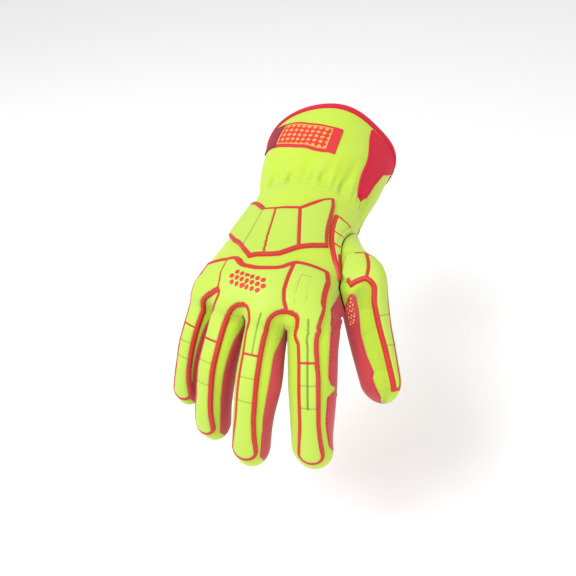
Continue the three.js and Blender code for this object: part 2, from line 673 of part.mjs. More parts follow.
// One finger's part of the knuckle guard, from one row to another, narrowed at its borders and lowered at its top
function guardPart(index, halfStrip, from, to, { lip = 0, narrow = [0, 0], drop = 0 } = {}) {
  const rows = [from, ...[...knuckleRows, ...stripRows].filter((u) => u > from && u < to), to];
  const steps = rows.length - 1;
  const [left, right] = [knuckleBorders[index], knuckleBorders[index + 1]];
  const centre = index + fingers[index].strip;
  const outline = (a, b) => {
    const u = rows[Math.round(b * steps)];
    const spread = clamp((u - 1) / (knuckleWeb - 1), 0, 1);
    const into = smooth((u - knuckleWeb) / (stripFrom - knuckleWeb));
    const leftEdge = lerp(left.top, left.web, spread) - (index === 0 ? lip : 0) + narrow[0];
    const rightEdge = lerp(right.top, right.web, spread) + (index === lastRay ? lip : 0) - narrow[1];
    const across = lerp(lerp(leftEdge, centre - halfStrip, into), lerp(rightEdge, centre + halfStrip, into), a);
    return [across, u < 1 ? lerp(readTable(knuckleTop, across, "along") + drop, 1, u) : u];
  };
  return { steps, outline };
}

// The knuckle guard is one moulding that runs out over the four fingers
const guardParts = fingers.map((finger, index) => guardPart(index, baseHalf, 0, stripEnd, { lip: guardLip }));
const guardOutlines = guardParts.map((part) => part.outline);
base("knuckle_guard_base", handPoint, guardOutlines, [4, guardParts[0].steps], -1);

// Its raised pads: one over the little finger's knuckle, a wide one over the two middle knuckles and one over the
// index knuckle, then two short blocks and a long pad along each finger
const knucklePads = [["little"], ["ring", "middle"], ["index"]];
for (const names of knucklePads) {
  const parts = names.map((name) => {
    const index = fingers.findIndex((finger) => finger.name === name);
    const first = name === names[0] ? borderGroove : 0;
    const last = name === names[names.length - 1] ? borderGroove : 0;
    return guardPart(index, padHalf, 0, blockRows[0] - stripGroove, { narrow: [first, last], drop: topGroove });
  });
  const outlines = parts.map((part) => part.outline);
  pad("knuckle_pad_" + names[0], handPoint, outlines, [4, parts[0].steps], -1);
}
fingers.forEach((finger, index) => {
  ["block_1", "block_2", "tip_pad"].forEach((name, i) => {
    const end = i < 2 ? blockRows[i + 1] - stripGroove : stripEnd - 2 * stripGroove;
    const part = guardPart(index, padHalf, blockRows[i] + stripGroove, end);
    pad(finger.name + "_" + name, handPoint, [part.outline], [2, part.steps], -1);
  });
});

// The side of the hand and the thumb's collar as one surface: w is negative on the back of the hand, 0 at the
// seam and positive on the thumb
function sidePoint(t, w) {
  return w < 0 ? fingerPoint(lastRay, 1 + w, lerp(thumbHoleFrom, thumbHoleTo, t)) : thumbPoint(t, w);
}
base("saddle_guard_base", sidePoint, [whole(saddleGuard)], [10, 4], 1);
saddlePads.forEach(({ from, to }, i) => {
  pad("saddle_pad_" + (i + 1), sidePoint, [cell(saddleGuard, from, to, padInset)], [2, 3], 1);
});

// The thumb guard
const thumbStrip = (from, to, lip) => (a, b) => {
  const v = lerp(from, to, b);
  const left = readTable(thumbGuard, v, "from") + lip;
  const right = readTable(thumbGuard, v, "to") - lip;
  return [lerp(left, right, a), v];
};
const thumbStripEnd = thumbGuard[thumbGuard.length - 1].at;
base("thumb_guard_base", thumbPoint, [thumbStrip(thumbGuard[0].at, thumbStripEnd, 0)], [4, 18], 1);
thumbPads.forEach(({ from, to }, i) => {
  pad("thumb_pad_" + (i + 1), thumbPoint, [thumbStrip(from, to, thumbLip)], [4, 5], 1);
});

plate("thumb_crotch_patch", looks.redLeather, thumbPoint, [whole(crotchPatch)], [6, 2], plateGap, patchThick, 1);

// The binding is folded over the rim: its section runs up the outside, over the rim and down the inside, then
// back along the cloth
function bindingSheet() {
  const start = 1 - bindingWide / cuffLength;
  const outer = plateGap + bindingThick;
  const section = [
    { s: start, lift: outer, beyond: 0 },
    { s: 1, lift: outer, beyond: outer },
    { s: 1, lift: -cuffCloth - outer, beyond: outer },
    { s: start, lift: -cuffCloth - outer, beyond: 0 },
    { s: start, lift: -cuffCloth - plateGap, beyond: 0 },
    { s: 1, lift: -cuffCloth - plateGap, beyond: plateGap },
    { s: 1, lift: plateGap, beyond: plateGap },
    { s: start, lift: plateGap, beyond: 0 },
  ];
  const place = (a, b) => {
    const { s, lift, beyond } = section[Math.round(b * section.length) % section.length];
    const point = cuffPoint(360 * a, s, lift);
    return point.setY(point.y + beyond);
  };
  return new Sheet().patch(place, cuffColumns, section.length);
}
const binding = bindingSheet();
closedMesh(binding.points, binding.triangles(), "cuff_binding", looks.redCloth);
plate("cuff_gusset", looks.redCloth, cuffPoint, [whole(gusset)], [8, 6], plateGap, patchThick, -1);
plate("cuff_label", looks.label, cuffPoint, [whole(label)], [8, 3], plateGap, patchThick, -1);

export default glove;
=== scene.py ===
from functools import partial
import json
import math
import bpy
import numpy as np
from mathutils import Matrix, Vector
from mathutils.kdtree import KDTree

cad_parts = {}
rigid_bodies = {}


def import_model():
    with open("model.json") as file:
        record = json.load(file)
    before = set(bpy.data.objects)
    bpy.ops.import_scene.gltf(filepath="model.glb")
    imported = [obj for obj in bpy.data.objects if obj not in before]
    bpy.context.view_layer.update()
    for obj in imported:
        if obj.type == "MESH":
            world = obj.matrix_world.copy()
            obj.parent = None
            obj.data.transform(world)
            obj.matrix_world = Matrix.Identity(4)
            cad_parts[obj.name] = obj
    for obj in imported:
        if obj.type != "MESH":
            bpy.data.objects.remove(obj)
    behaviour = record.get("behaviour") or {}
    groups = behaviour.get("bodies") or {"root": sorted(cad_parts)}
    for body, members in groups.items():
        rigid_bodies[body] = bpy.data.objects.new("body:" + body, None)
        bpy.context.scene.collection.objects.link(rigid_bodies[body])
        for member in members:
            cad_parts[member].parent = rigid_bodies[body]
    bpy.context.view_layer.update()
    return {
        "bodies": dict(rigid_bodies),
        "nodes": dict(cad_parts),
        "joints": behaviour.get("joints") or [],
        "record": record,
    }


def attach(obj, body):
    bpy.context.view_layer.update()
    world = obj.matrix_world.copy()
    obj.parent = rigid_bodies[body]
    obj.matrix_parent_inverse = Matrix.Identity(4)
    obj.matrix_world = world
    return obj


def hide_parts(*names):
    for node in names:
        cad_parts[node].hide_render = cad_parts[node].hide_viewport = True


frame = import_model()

mm = 0.001

# The camera, where the glove was photographed from. Distances are in millimetres, angles in degrees.
cameraView = {
    "azimuth": 22.3, "elevation": 39.2, "roll": -5.0, "distance": 456,
    "right": -13.5, "up": -53.1, "lens": 37.09,
}


def placed(name, data):
    thing = bpy.data.objects.new(name, data)
    bpy.context.collection.objects.link(thing)
    return thing


def addCamera():
    az, el, roll = (math.radians(cameraView[k]) for k in ("azimuth", "elevation", "roll"))
    back = np.array([math.sin(az) * math.cos(el), -math.cos(az) * math.cos(el), math.sin(el)])
    level = np.array([math.cos(az), math.sin(az), 0])
    upright = np.cross(back, level)
    right = math.cos(roll) * level + math.sin(roll) * upright
    up = -math.sin(roll) * level + math.cos(roll) * upright
    place = (cameraView["distance"] * back + cameraView["right"] * right + cameraView["up"] * up) * mm
    camera = placed("camera", bpy.data.cameras.new("camera"))
    camera.data.lens = cameraView["lens"]
    camera.data.sensor_width = 36
    camera.data.clip_start = 0.01
    turn = Matrix([[right[i], up[i], back[i]] for i in range(3)]).to_4x4()
    camera.matrix_world = Matrix.Translation(place) @ turn
    bpy.context.scene.camera = camera


# The hand inside: its main sizes in millimetres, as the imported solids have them
handSizes = {
    "wristHalf": 43, "wristBack": 29, "wristPalm": 31, "palmThumbHalf": 48, "palmLittleHalf": 40,
    "knuckleBack": 18, "knucklePalm": 20, "web": 17, "tipRound": 1.05,
    "holeFrom": 0.14, "holeTo": 0.9, "holeBack": 34, "holePalm": 62, "holeDip": 18,
    "flankSeam": -10, "tipSeam": 34, "notch": (24, 2.44, 0.035), "webFill": (11, 0.95, 0.35),
}
bodySections = [  # at, width, back, palm, squareness
    (0.0, 0.0, 0.0, 0.0, 2.0), (0.35, 0.45, 0.5, 0.3, 2.2), (0.7, 0.95, 0.9, 0.7, 2.4),
    (1.0, 1.0, 1.0, 1.0, 2.9), (2.0, 0.95, 0.95, 0.95, 4.4),
]
fingers = [
    {"name": "little", "half": 12, "knuckle": (-35, -84, 0), "spread": -22, "roll": 0, "strip": 0.58,
     "lengths": (45, 25, 27), "bends": (54, 10, 6)},
    {"name": "ring", "half": 12.5, "knuckle": (-14, -94, 4), "spread": -11, "roll": -4, "strip": 0.46,
     "lengths": (51, 31, 29), "bends": (48, 19, 11)},
    {"name": "middle", "half": 13.5, "knuckle": (10, -100, 5), "spread": 0, "roll": 3, "strip": 0.5,
     "lengths": (52, 32, 28), "bends": (45, 16, 10)},
    {"name": "index", "half": 15.5, "knuckle": (36, -97, 3), "spread": 15, "roll": 11, "strip": 0.52,
     "lengths": (49, 29, 28), "bends": (47, 14, 8)},
]
jointReach = (16, 11, 9)
rayShares = (-0.75, -0.25, 0.25, 0.75)
rayBorders = (180, 120, 90, 60, 0)
fingerSections = [  # at, width, back, palm
    (0.0, 1.0, 0.95, 1.1), (0.35, 1.0, 0.95, 1.08), (0.62, 0.96, 0.88, 1.02),
    (0.85, 0.93, 0.8, 0.95), (1.0, 0.88, 0.76, 0.88),
]


def smooth(t):
    t = np.clip(t, 0, 1)
    return t * t * (3 - 2 * t)


def mix(a, b, t):
    return a + (b - a) * t


def bell(at, centre, wide):
    return np.exp(-(((at - centre) / wide) ** 2))


def readRows(rows, at, column):
    table = np.array(rows, float)
    places, values = table[:, 0], table[:, column]
    i = np.clip(np.searchsorted(places, at) - 1, 0, len(rows) - 2)
    t = np.clip((at - places[i]) / (places[i + 1] - places[i]), 0, 1)
    before, a, b = values[np.maximum(i - 1, 0)], values[i], values[i + 1]
    after = values[np.minimum(i + 2, len(rows) - 1)]
    square = 2 * before - 5 * a + 4 * b - after
    cube = 3 * (a - b) + after - before
    return a + 0.5 * ((b - before) * t + square * t**2 + cube * t**3)


def leading(turn, drop):
    level = np.cos(drop)
    return np.stack([np.sin(turn) * level, -np.cos(turn) * level, -np.sin(drop)], -1)


def unit(v):
    return v / np.maximum(np.linalg.norm(v, axis=-1, keepdims=True), 1e-9)


class Ray:
    def __init__(self, index):
        finger = fingers[index]
        start = np.array([rayShares[index] * handSizes["wristHalf"], 0, 0])
        toKnuckle = np.array(finger["knuckle"]) - start
        self.bone = np.linalg.norm(toKnuckle)
        self.boneTurn = math.atan2(toKnuckle[0], -toKnuckle[1])
        self.boneDrop = -math.asin(toKnuckle[2] / self.bone)
        self.joints = self.bone + np.array([0, finger["lengths"][0], sum(finger["lengths"][:2])])
        self.length = self.joints[2] + finger["lengths"][2]
        self.finger = finger
        self.webAt = self.bone + handSizes["web"]
        self.round = finger["half"] * handSizes["tipRound"]
        count = math.ceil(self.length)
        middles = np.arange(count) + 0.5
        lengths = np.minimum(1, self.length - np.arange(count))
        steps = leading(self.turnAt(middles), self.dropAt(middles)) * lengths[:, None]
        self.line = np.vstack([start, start + np.cumsum(steps, axis=0)])
        self.places = np.append(np.arange(count), self.length)

    def passed(self, s, k):
        return smooth((s - self.joints[k] + jointReach[k]) / (2 * jointReach[k]))

    def turnAt(self, s):
        return mix(self.boneTurn, math.radians(self.finger["spread"]), self.passed(s, 0))

    def dropAt(self, s):
        bends = [math.radians(b) for b in self.finger["bends"]]
        knuckled = mix(self.boneDrop, bends[0], self.passed(s, 0))
        return knuckled + bends[1] * self.passed(s, 1) + bends[2] * self.passed(s, 2)

    def station(self, u):
        past = self.webAt + (u - 2) * (self.length - self.webAt)
        return np.where(u < 1, u * self.bone, np.where(u < 2, self.bone + (u - 1) * handSizes["web"], past))

    def frameAt(self, s):
        centre = np.stack([np.interp(s, self.places, self.line[:, k]) for k in range(3)], -1)
        settled = smooth(s / (0.45 * self.bone))
        turn, drop = self.turnAt(s) * settled, self.dropAt(s) * settled
        along = leading(turn, drop)
        level = np.stack([np.cos(turn), np.sin(turn), 0 * turn], -1)
        upright = np.cross(along, level)
        roll = (math.radians(self.finger["roll"]) * self.passed(s, 0))[..., None]
        side = level * np.cos(roll) + upright * np.sin(roll)
        return centre, along, side, np.cross(along, side)


rays = [Ray(i) for i in range(4)]


def seamDrop(index, q, u):
    low = mix(handSizes["flankSeam"] * smooth((u - 2) / 0.25), handSizes["tipSeam"], smooth((u - 2.55) / 0.45))
    if index == 3:  # the notch in the leather beside the index finger's middle joint
        deep, at, wide = handSizes["notch"]
        low = low + deep * bell(u, at, wide) * smooth((q - 0.85) / 0.15)
    return low


def holeReach(u, side):
    share = np.clip((u - handSizes["holeFrom"]) / (handSizes["holeTo"] - handSizes["holeFrom"]), 0, 1)
    reach = handSizes["holeBack"] if side > 0 else handSizes["holePalm"]
    return np.sin(np.pi * share) ** 0.8 * reach - side * handSizes["holeDip"] * smooth(share)


def bodySpot(index, q, u, side):  # a finger's share of the hand's outline, across and up
    edge = holeReach(u, side) if index == 3 else rayBorders[index + 1]
    turn = np.radians(mix(rayBorders[index], edge, q)) * side
    across = np.cos(turn)
    palmHalf = np.where(across > 0, handSizes["palmThumbHalf"], handSizes["palmLittleHalf"])
    wide = mix(handSizes["wristHalf"], palmHalf, readRows(bodySections, u, 1))
    backDeep = mix(handSizes["wristBack"], handSizes["knuckleBack"], readRows(bodySections, u, 2))
    palmDeep = mix(handSizes["wristPalm"], handSizes["knucklePalm"], readRows(bodySections, u, 3))
    square = readRows(bodySections, u, 4)
    below = np.clip(-2.5 * np.sin(turn), 0, 1) * np.maximum(across, 0)
    fill, at, along = handSizes["webFill"]
    rounded = np.maximum(1 - np.abs(across) ** square, 0) ** (1 / square)
    x = (across - rayShares[index]) * wide + fill * below * bell(u, at, along)
    return x, np.where(np.sin(turn) > 0, backDeep, -palmDeep) * rounded


def fingerSpot(index, q, u, side):  # the finger's own outline, which the hand's runs into
    ray = rays[index]
    low = np.where(u > 2, -seamDrop(index, q, u) * side, 0)
    turn = np.radians(mix(180 - low, low, q)) * side
    free = np.clip(u - 2, 0, 1)
    cap = np.clip((ray.station(u) - (ray.length - ray.round)) / ray.round, 0, 1)
    half = np.sqrt(1 - cap**2) * fingers[index]["half"]
    deep = np.where(np.sin(turn) > 0, readRows(fingerSections, free, 2), readRows(fingerSections, free, 3))
    return np.cos(turn) * half * readRows(fingerSections, free, 1), np.sin(turn) * half * deep


def rayPoint(index, q, u, side):
    centre, _, sideways, up = rays[index].frameAt(rays[index].station(u))
    into = np.clip((u - 0.9) / 1.1, 0, 1)
    part = 1 - np.sqrt(1 - into**2)
    spots = zip(bodySpot(index, q, u, side), fingerSpot(index, q, u, side))
    x, z = (mix(body, finger, part) for body, finger in spots)
    return centre + sideways * x[..., None] + up * (z + side * 0.15)[..., None]


def edgePull(index, neighbour, q, u, side):
    if neighbour < 0 or neighbour > 3:
        return 0
    at = np.minimum(u, 2)
    mine = rayPoint(index, q + 0 * at, at, side)
    theirs = rayPoint(neighbour, 1 - q + 0 * at, at, side)
    return (theirs - mine) / 2 * np.exp(-4 * np.maximum(u - 2, 0))[..., None]


def fingerPoint(index, q, u, side=1):
    q, u = np.broadcast_arrays(np.asarray(q, float), np.asarray(u, float))
    toLittle = np.clip(1 - q / 0.6, 0, 1)[..., None] ** 2
    toThumb = np.clip(1 - (1 - q) / 0.6, 0, 1)[..., None] ** 2
    pulls = edgePull(index, index - 1, 0, u, side) * toLittle + edgePull(index, index + 1, 1, u, side) * toThumb
    return rayPoint(index, q, u, side) + pulls


def handPoint(a, u):
    a, u = np.broadcast_arrays(np.asarray(a, float), np.asarray(u, float))
    index = np.clip(np.floor(a), 0, 3)
    out = np.zeros(a.shape + (3,))
    for i in range(4):
        at = index == i
        if at.any():
            out[at] = fingerPoint(i, a[at] - i, u[at])
    return out


# The thumb: its joints, the way its back faces and the two seams in degrees from that facing
thumbSizes = {
    "joints": ((28, -22, -8), (55, -60, 4), (72, -89, -24), (90, -119, -50)),
    "facing": (0.86, 0.09, 0.51), "outerSeam": -75, "innerSeam": 125, "half": 14.5,
    "freeFrom": 0.3, "bulge": 8, "collarGap": 0.8,
}
thumbSections = [  # at, width, back, palm
    (0.0, 1.22, 1.12, 1.2), (0.35, 1.02, 0.98, 1.05), (0.62, 1.0, 0.92, 0.98),
    (0.85, 0.98, 0.82, 0.92), (1.0, 0.9, 0.76, 0.84),
]


def curveThrough(points, t):
    points = np.array(points, float)
    ends = np.vstack([2 * points[0] - points[1], points, 2 * points[-1] - points[-2]])
    i = min(int(t * (len(points) - 1)), len(points) - 2)
    w = t * (len(points) - 1) - i
    p = ends[i:i + 4]
    d = np.sqrt(np.linalg.norm(np.diff(p, axis=0), axis=1))
    a = ((p[1] - p[0]) / d[0] - (p[2] - p[0]) / (d[0] + d[1]) + (p[2] - p[1]) / d[1]) * d[1]
    b = ((p[2] - p[1]) / d[1] - (p[3] - p[1]) / (d[1] + d[2]) + (p[3] - p[2]) / d[2]) * d[1]
    return p[1] + a * w + (3 * (p[2] - p[1]) - 2 * a - b) * w**2 + (2 * (p[1] - p[2]) + a + b) * w**3


thumbShares = np.linspace(0, 1, 401)
thumbLine = np.array([curveThrough(thumbSizes["joints"], mix(1 / 3, 1, share)) for share in thumbShares])
thumbLeads = unit(np.gradient(thumbLine, axis=0))
thumbFree = sum(np.linalg.norm(np.diff(np.array(thumbSizes["joints"][1:], float), axis=0), axis=1))
thumbCap = thumbSizes["half"] / thumbFree


def thumbFrame(share):
    centre = np.stack([np.interp(share, thumbShares, thumbLine[:, k]) for k in range(3)], -1)
    along = unit(np.stack([np.interp(share, thumbShares, thumbLeads[:, k]) for k in range(3)], -1))
    facing = np.array(thumbSizes["facing"])
    up = unit(facing - along * (along @ facing)[..., None])
    return centre, along, up


def thumbTube(t, share, side):
    centre, along, up = thumbFrame(share)
    inner = thumbSizes["innerSeam"] - (0 if side > 0 else 360)
    turn = np.radians(mix(thumbSizes["outerSeam"], inner, t))
    cap = np.clip((share - 1 + thumbCap) / thumbCap, 0, 1)
    half = thumbSizes["half"] * np.sqrt(1 - cap**2)
    deep = np.where(np.cos(turn) > 0, readRows(thumbSections, share, 2), readRows(thumbSections, share, 3))
    across = (np.sin(turn) * half * readRows(thumbSections, share, 1))[..., None]
    return centre + np.cross(along, up) * across + up * (np.cos(turn) * half * deep + side * 0.25)[..., None]


def thumbPoint(t, v, side=1):
    t, v = np.broadcast_arrays(np.asarray(t, float), np.asarray(v, float))
    tube = thumbTube(t, mix(thumbSizes["freeFrom"], 1, np.clip(v - 1, 0, 1)), side)
    u = mix(handSizes["holeFrom"], handSizes["holeTo"], t)
    hole = fingerPoint(3, 1, u, side)
    ring = thumbTube(t, thumbSizes["freeFrom"] + 0 * t, side)
    skinOut = unit(hole - rays[3].frameAt(rays[3].station(u))[0])
    start = hole + (unit(ring - hole) + skinOut) * thumbSizes["collarGap"]
    reach = np.linalg.norm(hole - ring, axis=-1, keepdims=True)
    arrive = thumbFrame(np.array(thumbSizes["freeFrom"]))[1] * reach
    w = np.clip(v, 0, 1)[..., None]
    bulge = thumbSizes["bulge"] * np.sin(np.pi * w) ** 2 * np.sin(np.pi * t)[..., None] if side > 0 else 0
    collar = start * (2 * w**3 - 3 * w**2 + 1) + (ring - start) * 0.9 * (w**3 - 2 * w**2 + w)
    collar = collar + ring * (3 * w**2 - 2 * w**3) + arrive * (w**3 - w**2)
    collar = collar + np.array(thumbSizes["facing"]) * bulge
    return np.where((v >= 1)[..., None], tube, collar)


def sidePoint(t, w):
    t, w = np.broadcast_arrays(np.asarray(t, float), np.asarray(w, float))
    u = mix(handSizes["holeFrom"], handSizes["holeTo"], t)
    flank = fingerPoint(3, np.minimum(1 + w, 1), u)
    return np.where((w < 0)[..., None], flank, thumbPoint(t, np.maximum(w, 0)))


# The cuff
cuffSizes = {
    "length": 86, "rise": 7, "slant": 7, "flat": 6, "flatAt": 40, "thumbHalf": 51, "littleHalf": 59,
    "halfHeight": 45, "gathers": 1.3, "from": 0.45, "pleats": ((10, 1, 0), (17, 0.7, 1.3), (29, 0.5, 4)),
}
cuffSections = [  # at, growth, gathers
    (0.0, 0.0, 0.0), (0.1, 0.04, 0.6), (0.2, 0.12, 1.0), (0.32, 0.28, 0.5),
    (0.5, 0.55, 0.0), (0.75, 0.85, 0.0), (1.0, 1.0, 0.0),
]


def waves(turn, rows):  # each row is a count round the cuff, a height and a shift
    return sum(high * np.cos(np.radians(count * turn) + shift) for count, high, shift in rows)


def cuffFolds(turn, s):
    draw = readRows(cuffSections, s, 2)
    pleats = waves(turn, cuffSizes["pleats"])
    soft = np.cos(np.radians(4 * turn) + 5 * s) * smooth(s * 4) * smooth((1 - s) * 3)
    dents = np.cos(np.radians(7 * turn) + 9 * s + 2) * smooth(s * 3) * smooth((0.8 - s) * 3)
    return draw * (cuffSizes["gathers"] * 0.75 * pleats - 1.5) + 0.9 * soft + 0.5 * dents


def cuffPoint(turn, s, lift=0):
    turn, s = np.broadcast_arrays(np.asarray(turn, float), np.asarray(s, float))
    grow = readRows(cuffSections, s, 1)
    cos, sin = np.cos(np.radians(turn)), np.sin(np.radians(turn))
    flat = cuffSizes["flat"] * grow * np.maximum(np.cos(np.radians(turn - cuffSizes["flatAt"])), 0) ** 6
    extra = cuffFolds(turn, s) + lift - flat
    rimHalf = np.where(cos > 0, cuffSizes["thumbHalf"], cuffSizes["littleHalf"])
    wristDeep = np.where(sin > 0, handSizes["wristBack"], handSizes["wristPalm"])
    wide = mix(handSizes["wristHalf"], rimHalf, grow) + extra
    deep = mix(wristDeep, cuffSizes["halfHeight"], grow) + extra
    y = cuffSizes["from"] + s * (cuffSizes["length"] + math.tan(math.radians(cuffSizes["slant"])) * wide * cos)
    return np.stack([wide * cos, y, deep * sin + math.tan(math.radians(cuffSizes["rise"])) * y], -1)


# Patches of a surface, joined into one piece with a wall
def patchOf(surface, across, down, facing):
    a, b = np.meshgrid(across, down)
    points = surface(a, b)
    normals = unit(np.cross(np.gradient(points, axis=1), np.gradient(points, axis=0))) * facing
    return {"a": a, "b": b, "points": points, "normals": normals, "facing": facing, "values": {}, "drop": None}


def editAlone(piece):
    bpy.ops.object.select_all(action="DESELECT")
    piece.select_set(True)
    bpy.context.view_layer.objects.active = piece
    bpy.ops.object.mode_set(mode="EDIT")
    bpy.ops.mesh.select_all(action="SELECT")


def makePiece(name, patches, nodes, material, wall, weld=0.03):
    vertices, faces, values, start = [], [], {}, 0
    for patch in patches:
        rows, columns = patch["a"].shape
        i, j = np.meshgrid(np.arange(rows - 1), np.arange(columns - 1), indexing="ij")
        corners = [i * columns + j, i * columns + j + 1, (i + 1) * columns + j + 1, (i + 1) * columns + j]
        quads = np.stack(corners, -1).reshape(-1, 4)
        if patch["drop"] is not None:
            quads = quads[~patch["drop"].reshape(-1)[quads].all(axis=1)]
        if patch["facing"] < 0:
            quads = quads[:, ::-1]
        vertices.append(patch["points"].reshape(-1, 3) * mm)
        faces.append(quads + start)
        for key, value in patch["values"].items():
            values.setdefault(key, []).append(value.reshape(-1))
        start += rows * columns
    mesh = bpy.data.meshes.new(name)
    mesh.from_pydata(np.vstack(vertices).tolist(), [], np.vstack(faces).tolist())
    for key, value in values.items():
        layer = mesh.attributes.new(key, "FLOAT", "POINT")
        layer.data.foreach_set("value", np.concatenate(value).astype(np.float32))
    piece = placed(name, mesh)
    editAlone(piece)
    bpy.ops.mesh.remove_doubles(threshold=weld * mm)
    bpy.ops.mesh.delete_loose()
    bpy.ops.object.mode_set(mode="OBJECT")
    bpy.ops.object.shade_smooth()
    solid = piece.modifiers.new("wall", "SOLIDIFY")
    solid.thickness = wall * mm
    solid.offset = -1
    bpy.ops.object.modifier_apply(modifier="wall")
    piece.data.materials.append(material)
    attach(piece, "root")
    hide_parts(*nodes)
    print("made", name, len(piece.data.polygons))


# Lines on a surface: a list of places, made dense and softened at its corners
def softened(places, width, closed):
    kernel = np.hanning(2 * width + 1)
    kernel /= kernel.sum()
    ring, mode = (places[:-1], "wrap") if closed else (places, "edge")
    ring = np.pad(ring, ((width, width), (0, 0)), mode=mode)
    soft = np.stack([np.convolve(ring[:, k], kernel, "valid") for k in range(2)], -1)
    return np.vstack([soft, soft[:1]]) if closed else soft


def lineOn(surface, places, soften=0.0, closed=False, step=0.25):
    places = np.array(places + places[:1] if closed else places, float)
    shares = np.linspace(0, 1, 80, endpoint=False)[:, None]
    dense = np.concatenate([mix(p, q, shares) for p, q in zip(places, places[1:])] + [places[-1:]])
    for width in (max(int(soften / step), 1) if soften else 0, 0):
        points = surface(dense[:, 0], dense[:, 1])
        run = np.append(0, np.cumsum(np.linalg.norm(np.diff(points, axis=0), axis=1)))
        even = np.linspace(0, run[-1], max(int(run[-1] / step), 8))
        dense = np.stack([np.interp(even, run, dense[:, k]) for k in range(2)], -1)
        if width:
            dense = softened(dense, width, closed)
    return {"places": dense, "points": surface(dense[:, 0], dense[:, 1])}


def distanceTo(line, points):
    tree = KDTree(len(line["points"]))
    for i, p in enumerate(line["points"]):
        tree.insert(p, i)
    tree.balance()
    flat = points.reshape(-1, 3)
    return np.array([tree.find(p)[2] for p in flat]).reshape(points.shape[:-1])


def inside(line, a, b):
    ring = line["places"][::4]
    ring = np.vstack([ring, ring[:1]])
    out = np.zeros(a.shape, bool)
    for (a0, b0), (a1, b1) in zip(ring, ring[1:]):
        if b0 != b1:
            crosses = ((b0 > b) != (b1 > b)) & (a < (a1 - a0) * (b - b0) / (b1 - b0) + a0)
            out ^= crosses
    return out


def signedDistance(line, patch):
    away = distanceTo(line, patch["points"])
    return np.where(inside(line, patch["a"], patch["b"]), -away, away)


# Cloth, leather and rubber
class Paint:
    def __init__(self, name, colour, roughness, sheen=0.0):
        self.material = bpy.data.materials.new(name)
        self.material.use_nodes = True
        self.nodes, self.links = self.material.node_tree.nodes, self.material.node_tree.links
        self.shader = self.nodes["Principled BSDF"].inputs
        for socket, value in (("Base Color", colour), ("Roughness", roughness), ("Sheen Weight", sheen)):
            self.feed(self.shader[socket], value)

    def feed(self, socket, value):
        if isinstance(value, tuple):
            socket.default_value = (*value, 1)
        elif isinstance(value, (int, float)):
            socket.default_value = value
        else:
            self.links.new(value, socket)

    def math(self, operation, a, b=0.0, clamp=False):
        node = self.nodes.new("ShaderNodeMath")
        node.operation, node.use_clamp = operation, clamp
        self.feed(node.inputs[0], a)
        self.feed(node.inputs[1], b)
        return node.outputs[0]

    def wave(self, value, length):
        return self.math("SINE", self.math("MULTIPLY", value, 2 * math.pi / length))

    def mixed(self, share, a, b):
        node = self.nodes.new("ShaderNodeMix")
        node.data_type = "RGBA"
        for place, value in ((0, share), (6, a), (7, b)):
            self.feed(node.inputs[place], value)
        return node.outputs[2]

    def texture(self, kind, output, **settings):
        node = self.nodes.new(kind)
        for key, value in settings.items():
            node.inputs[key].default_value = value
        self.links.new(self.nodes.new("ShaderNodeTexCoord").outputs["Object"], node.inputs["Vector"])
        return node.outputs[output]

    def noise(self, scale, detail=4.0):
        return self.texture("ShaderNodeTexNoise", "Fac", Scale=scale, Detail=detail)

    def cells(self, scale, spread=1.0):
        return self.texture("ShaderNodeTexVoronoi", "Distance", Scale=scale, Randomness=spread)

    def attribute(self, name):
        node = self.nodes.new("ShaderNodeAttribute")
        node.attribute_name = name
        return node.outputs["Fac"]

    def finished(self, colour, height, depth):  # depth of the relief in millimetres
        bump = self.nodes.new("ShaderNodeBump")
        bump.inputs["Strength"].default_value = 1.0
        bump.inputs["Distance"].default_value = depth * mm
        self.feed(bump.inputs["Height"], height)
        self.feed(self.shader["Normal"], bump.outputs["Normal"])
        self.feed(self.shader["Base Color"], colour)
        return self.material


# Cloth: the darker green laid into the rib valleys is painted shade
clothLook = {
    "lit": (0.48, 0.65, 0.045), "shade": (0.43, 0.61, 0.02), "ribValleyShade": (0.36, 0.62, 0.003),
    "ribs": 1.15, "shadePatches": 60, "weave": 1400, "relief": 0.25, "rough": 0.85, "sheen": 0.25,
}
leatherLook = {
    "lit": (0.53, 0.042, 0.052), "shade": (0.43, 0.028, 0.036), "grain": 900.0, "relief": 0.12, "rough": 0.75,
    "sheen": 0.2, "dots": (0.85, 0.5, 0.12), "dotPitch": 520.0, "dotSize": 0.36, "dotsFrom": 2.2,
}
labelLook = {  # the frame's distances are from the far end, the near end, the top and the bottom
    "ground": (0.62, 0.02, 0.03), "end": (0.25, 0.008, 0.02), "gold": (0.85, 0.36, 0.04), "rough": 0.7,
    "frameAt": (21, 8.5, 3.2, 3.2), "frame": 0.8, "pitch": 9.0, "lattice": 0.25,
    "thread": (0.08, 0.01, 0.02), "threadFrom": 0.9, "threadTo": 1.3, "stitch": 1.8,
}
# The pads' dark crease colour is painted shade in their creases, slits and recess
padLook = {
    "lit": (0.465, 0.625, 0.08), "shade": (0.42, 0.6, 0.045), "creaseShade": (0.12, 0.18, 0.004), "creaseShadeWide": 0.55,
}
baseLook = {"lit": (0.56, 0.022, 0.014), "shade": (0.47, 0.015, 0.01)}
trimLook = {"lit": (0.70, 0.008, 0.042), "shade": (0.44, 0.005, 0.024)}


def clothMaterial():
    look = clothLook
    paint = Paint("hiVisCloth", look["lit"], look["rough"], look["sheen"])
    ribs = paint.math("MULTIPLY", paint.wave(paint.attribute("ribs"), look["ribs"]), paint.attribute("ribShare"))
    # Painted shade: the lit and shade greens are mixed in patches by noise
    colour = paint.mixed(paint.noise(look["shadePatches"]), look["shade"], look["lit"])
    # Painted shade: the rib valleys are darkened towards the valley green
    colour = paint.mixed(paint.math("MULTIPLY", ribs, -0.3, True), colour, look["ribValleyShade"])
    weave = paint.math("MULTIPLY", paint.noise(look["weave"], 2), 0.35)
    return paint.finished(colour, paint.math("ADD", paint.math("MULTIPLY", ribs, 0.5), weave), look["relief"])


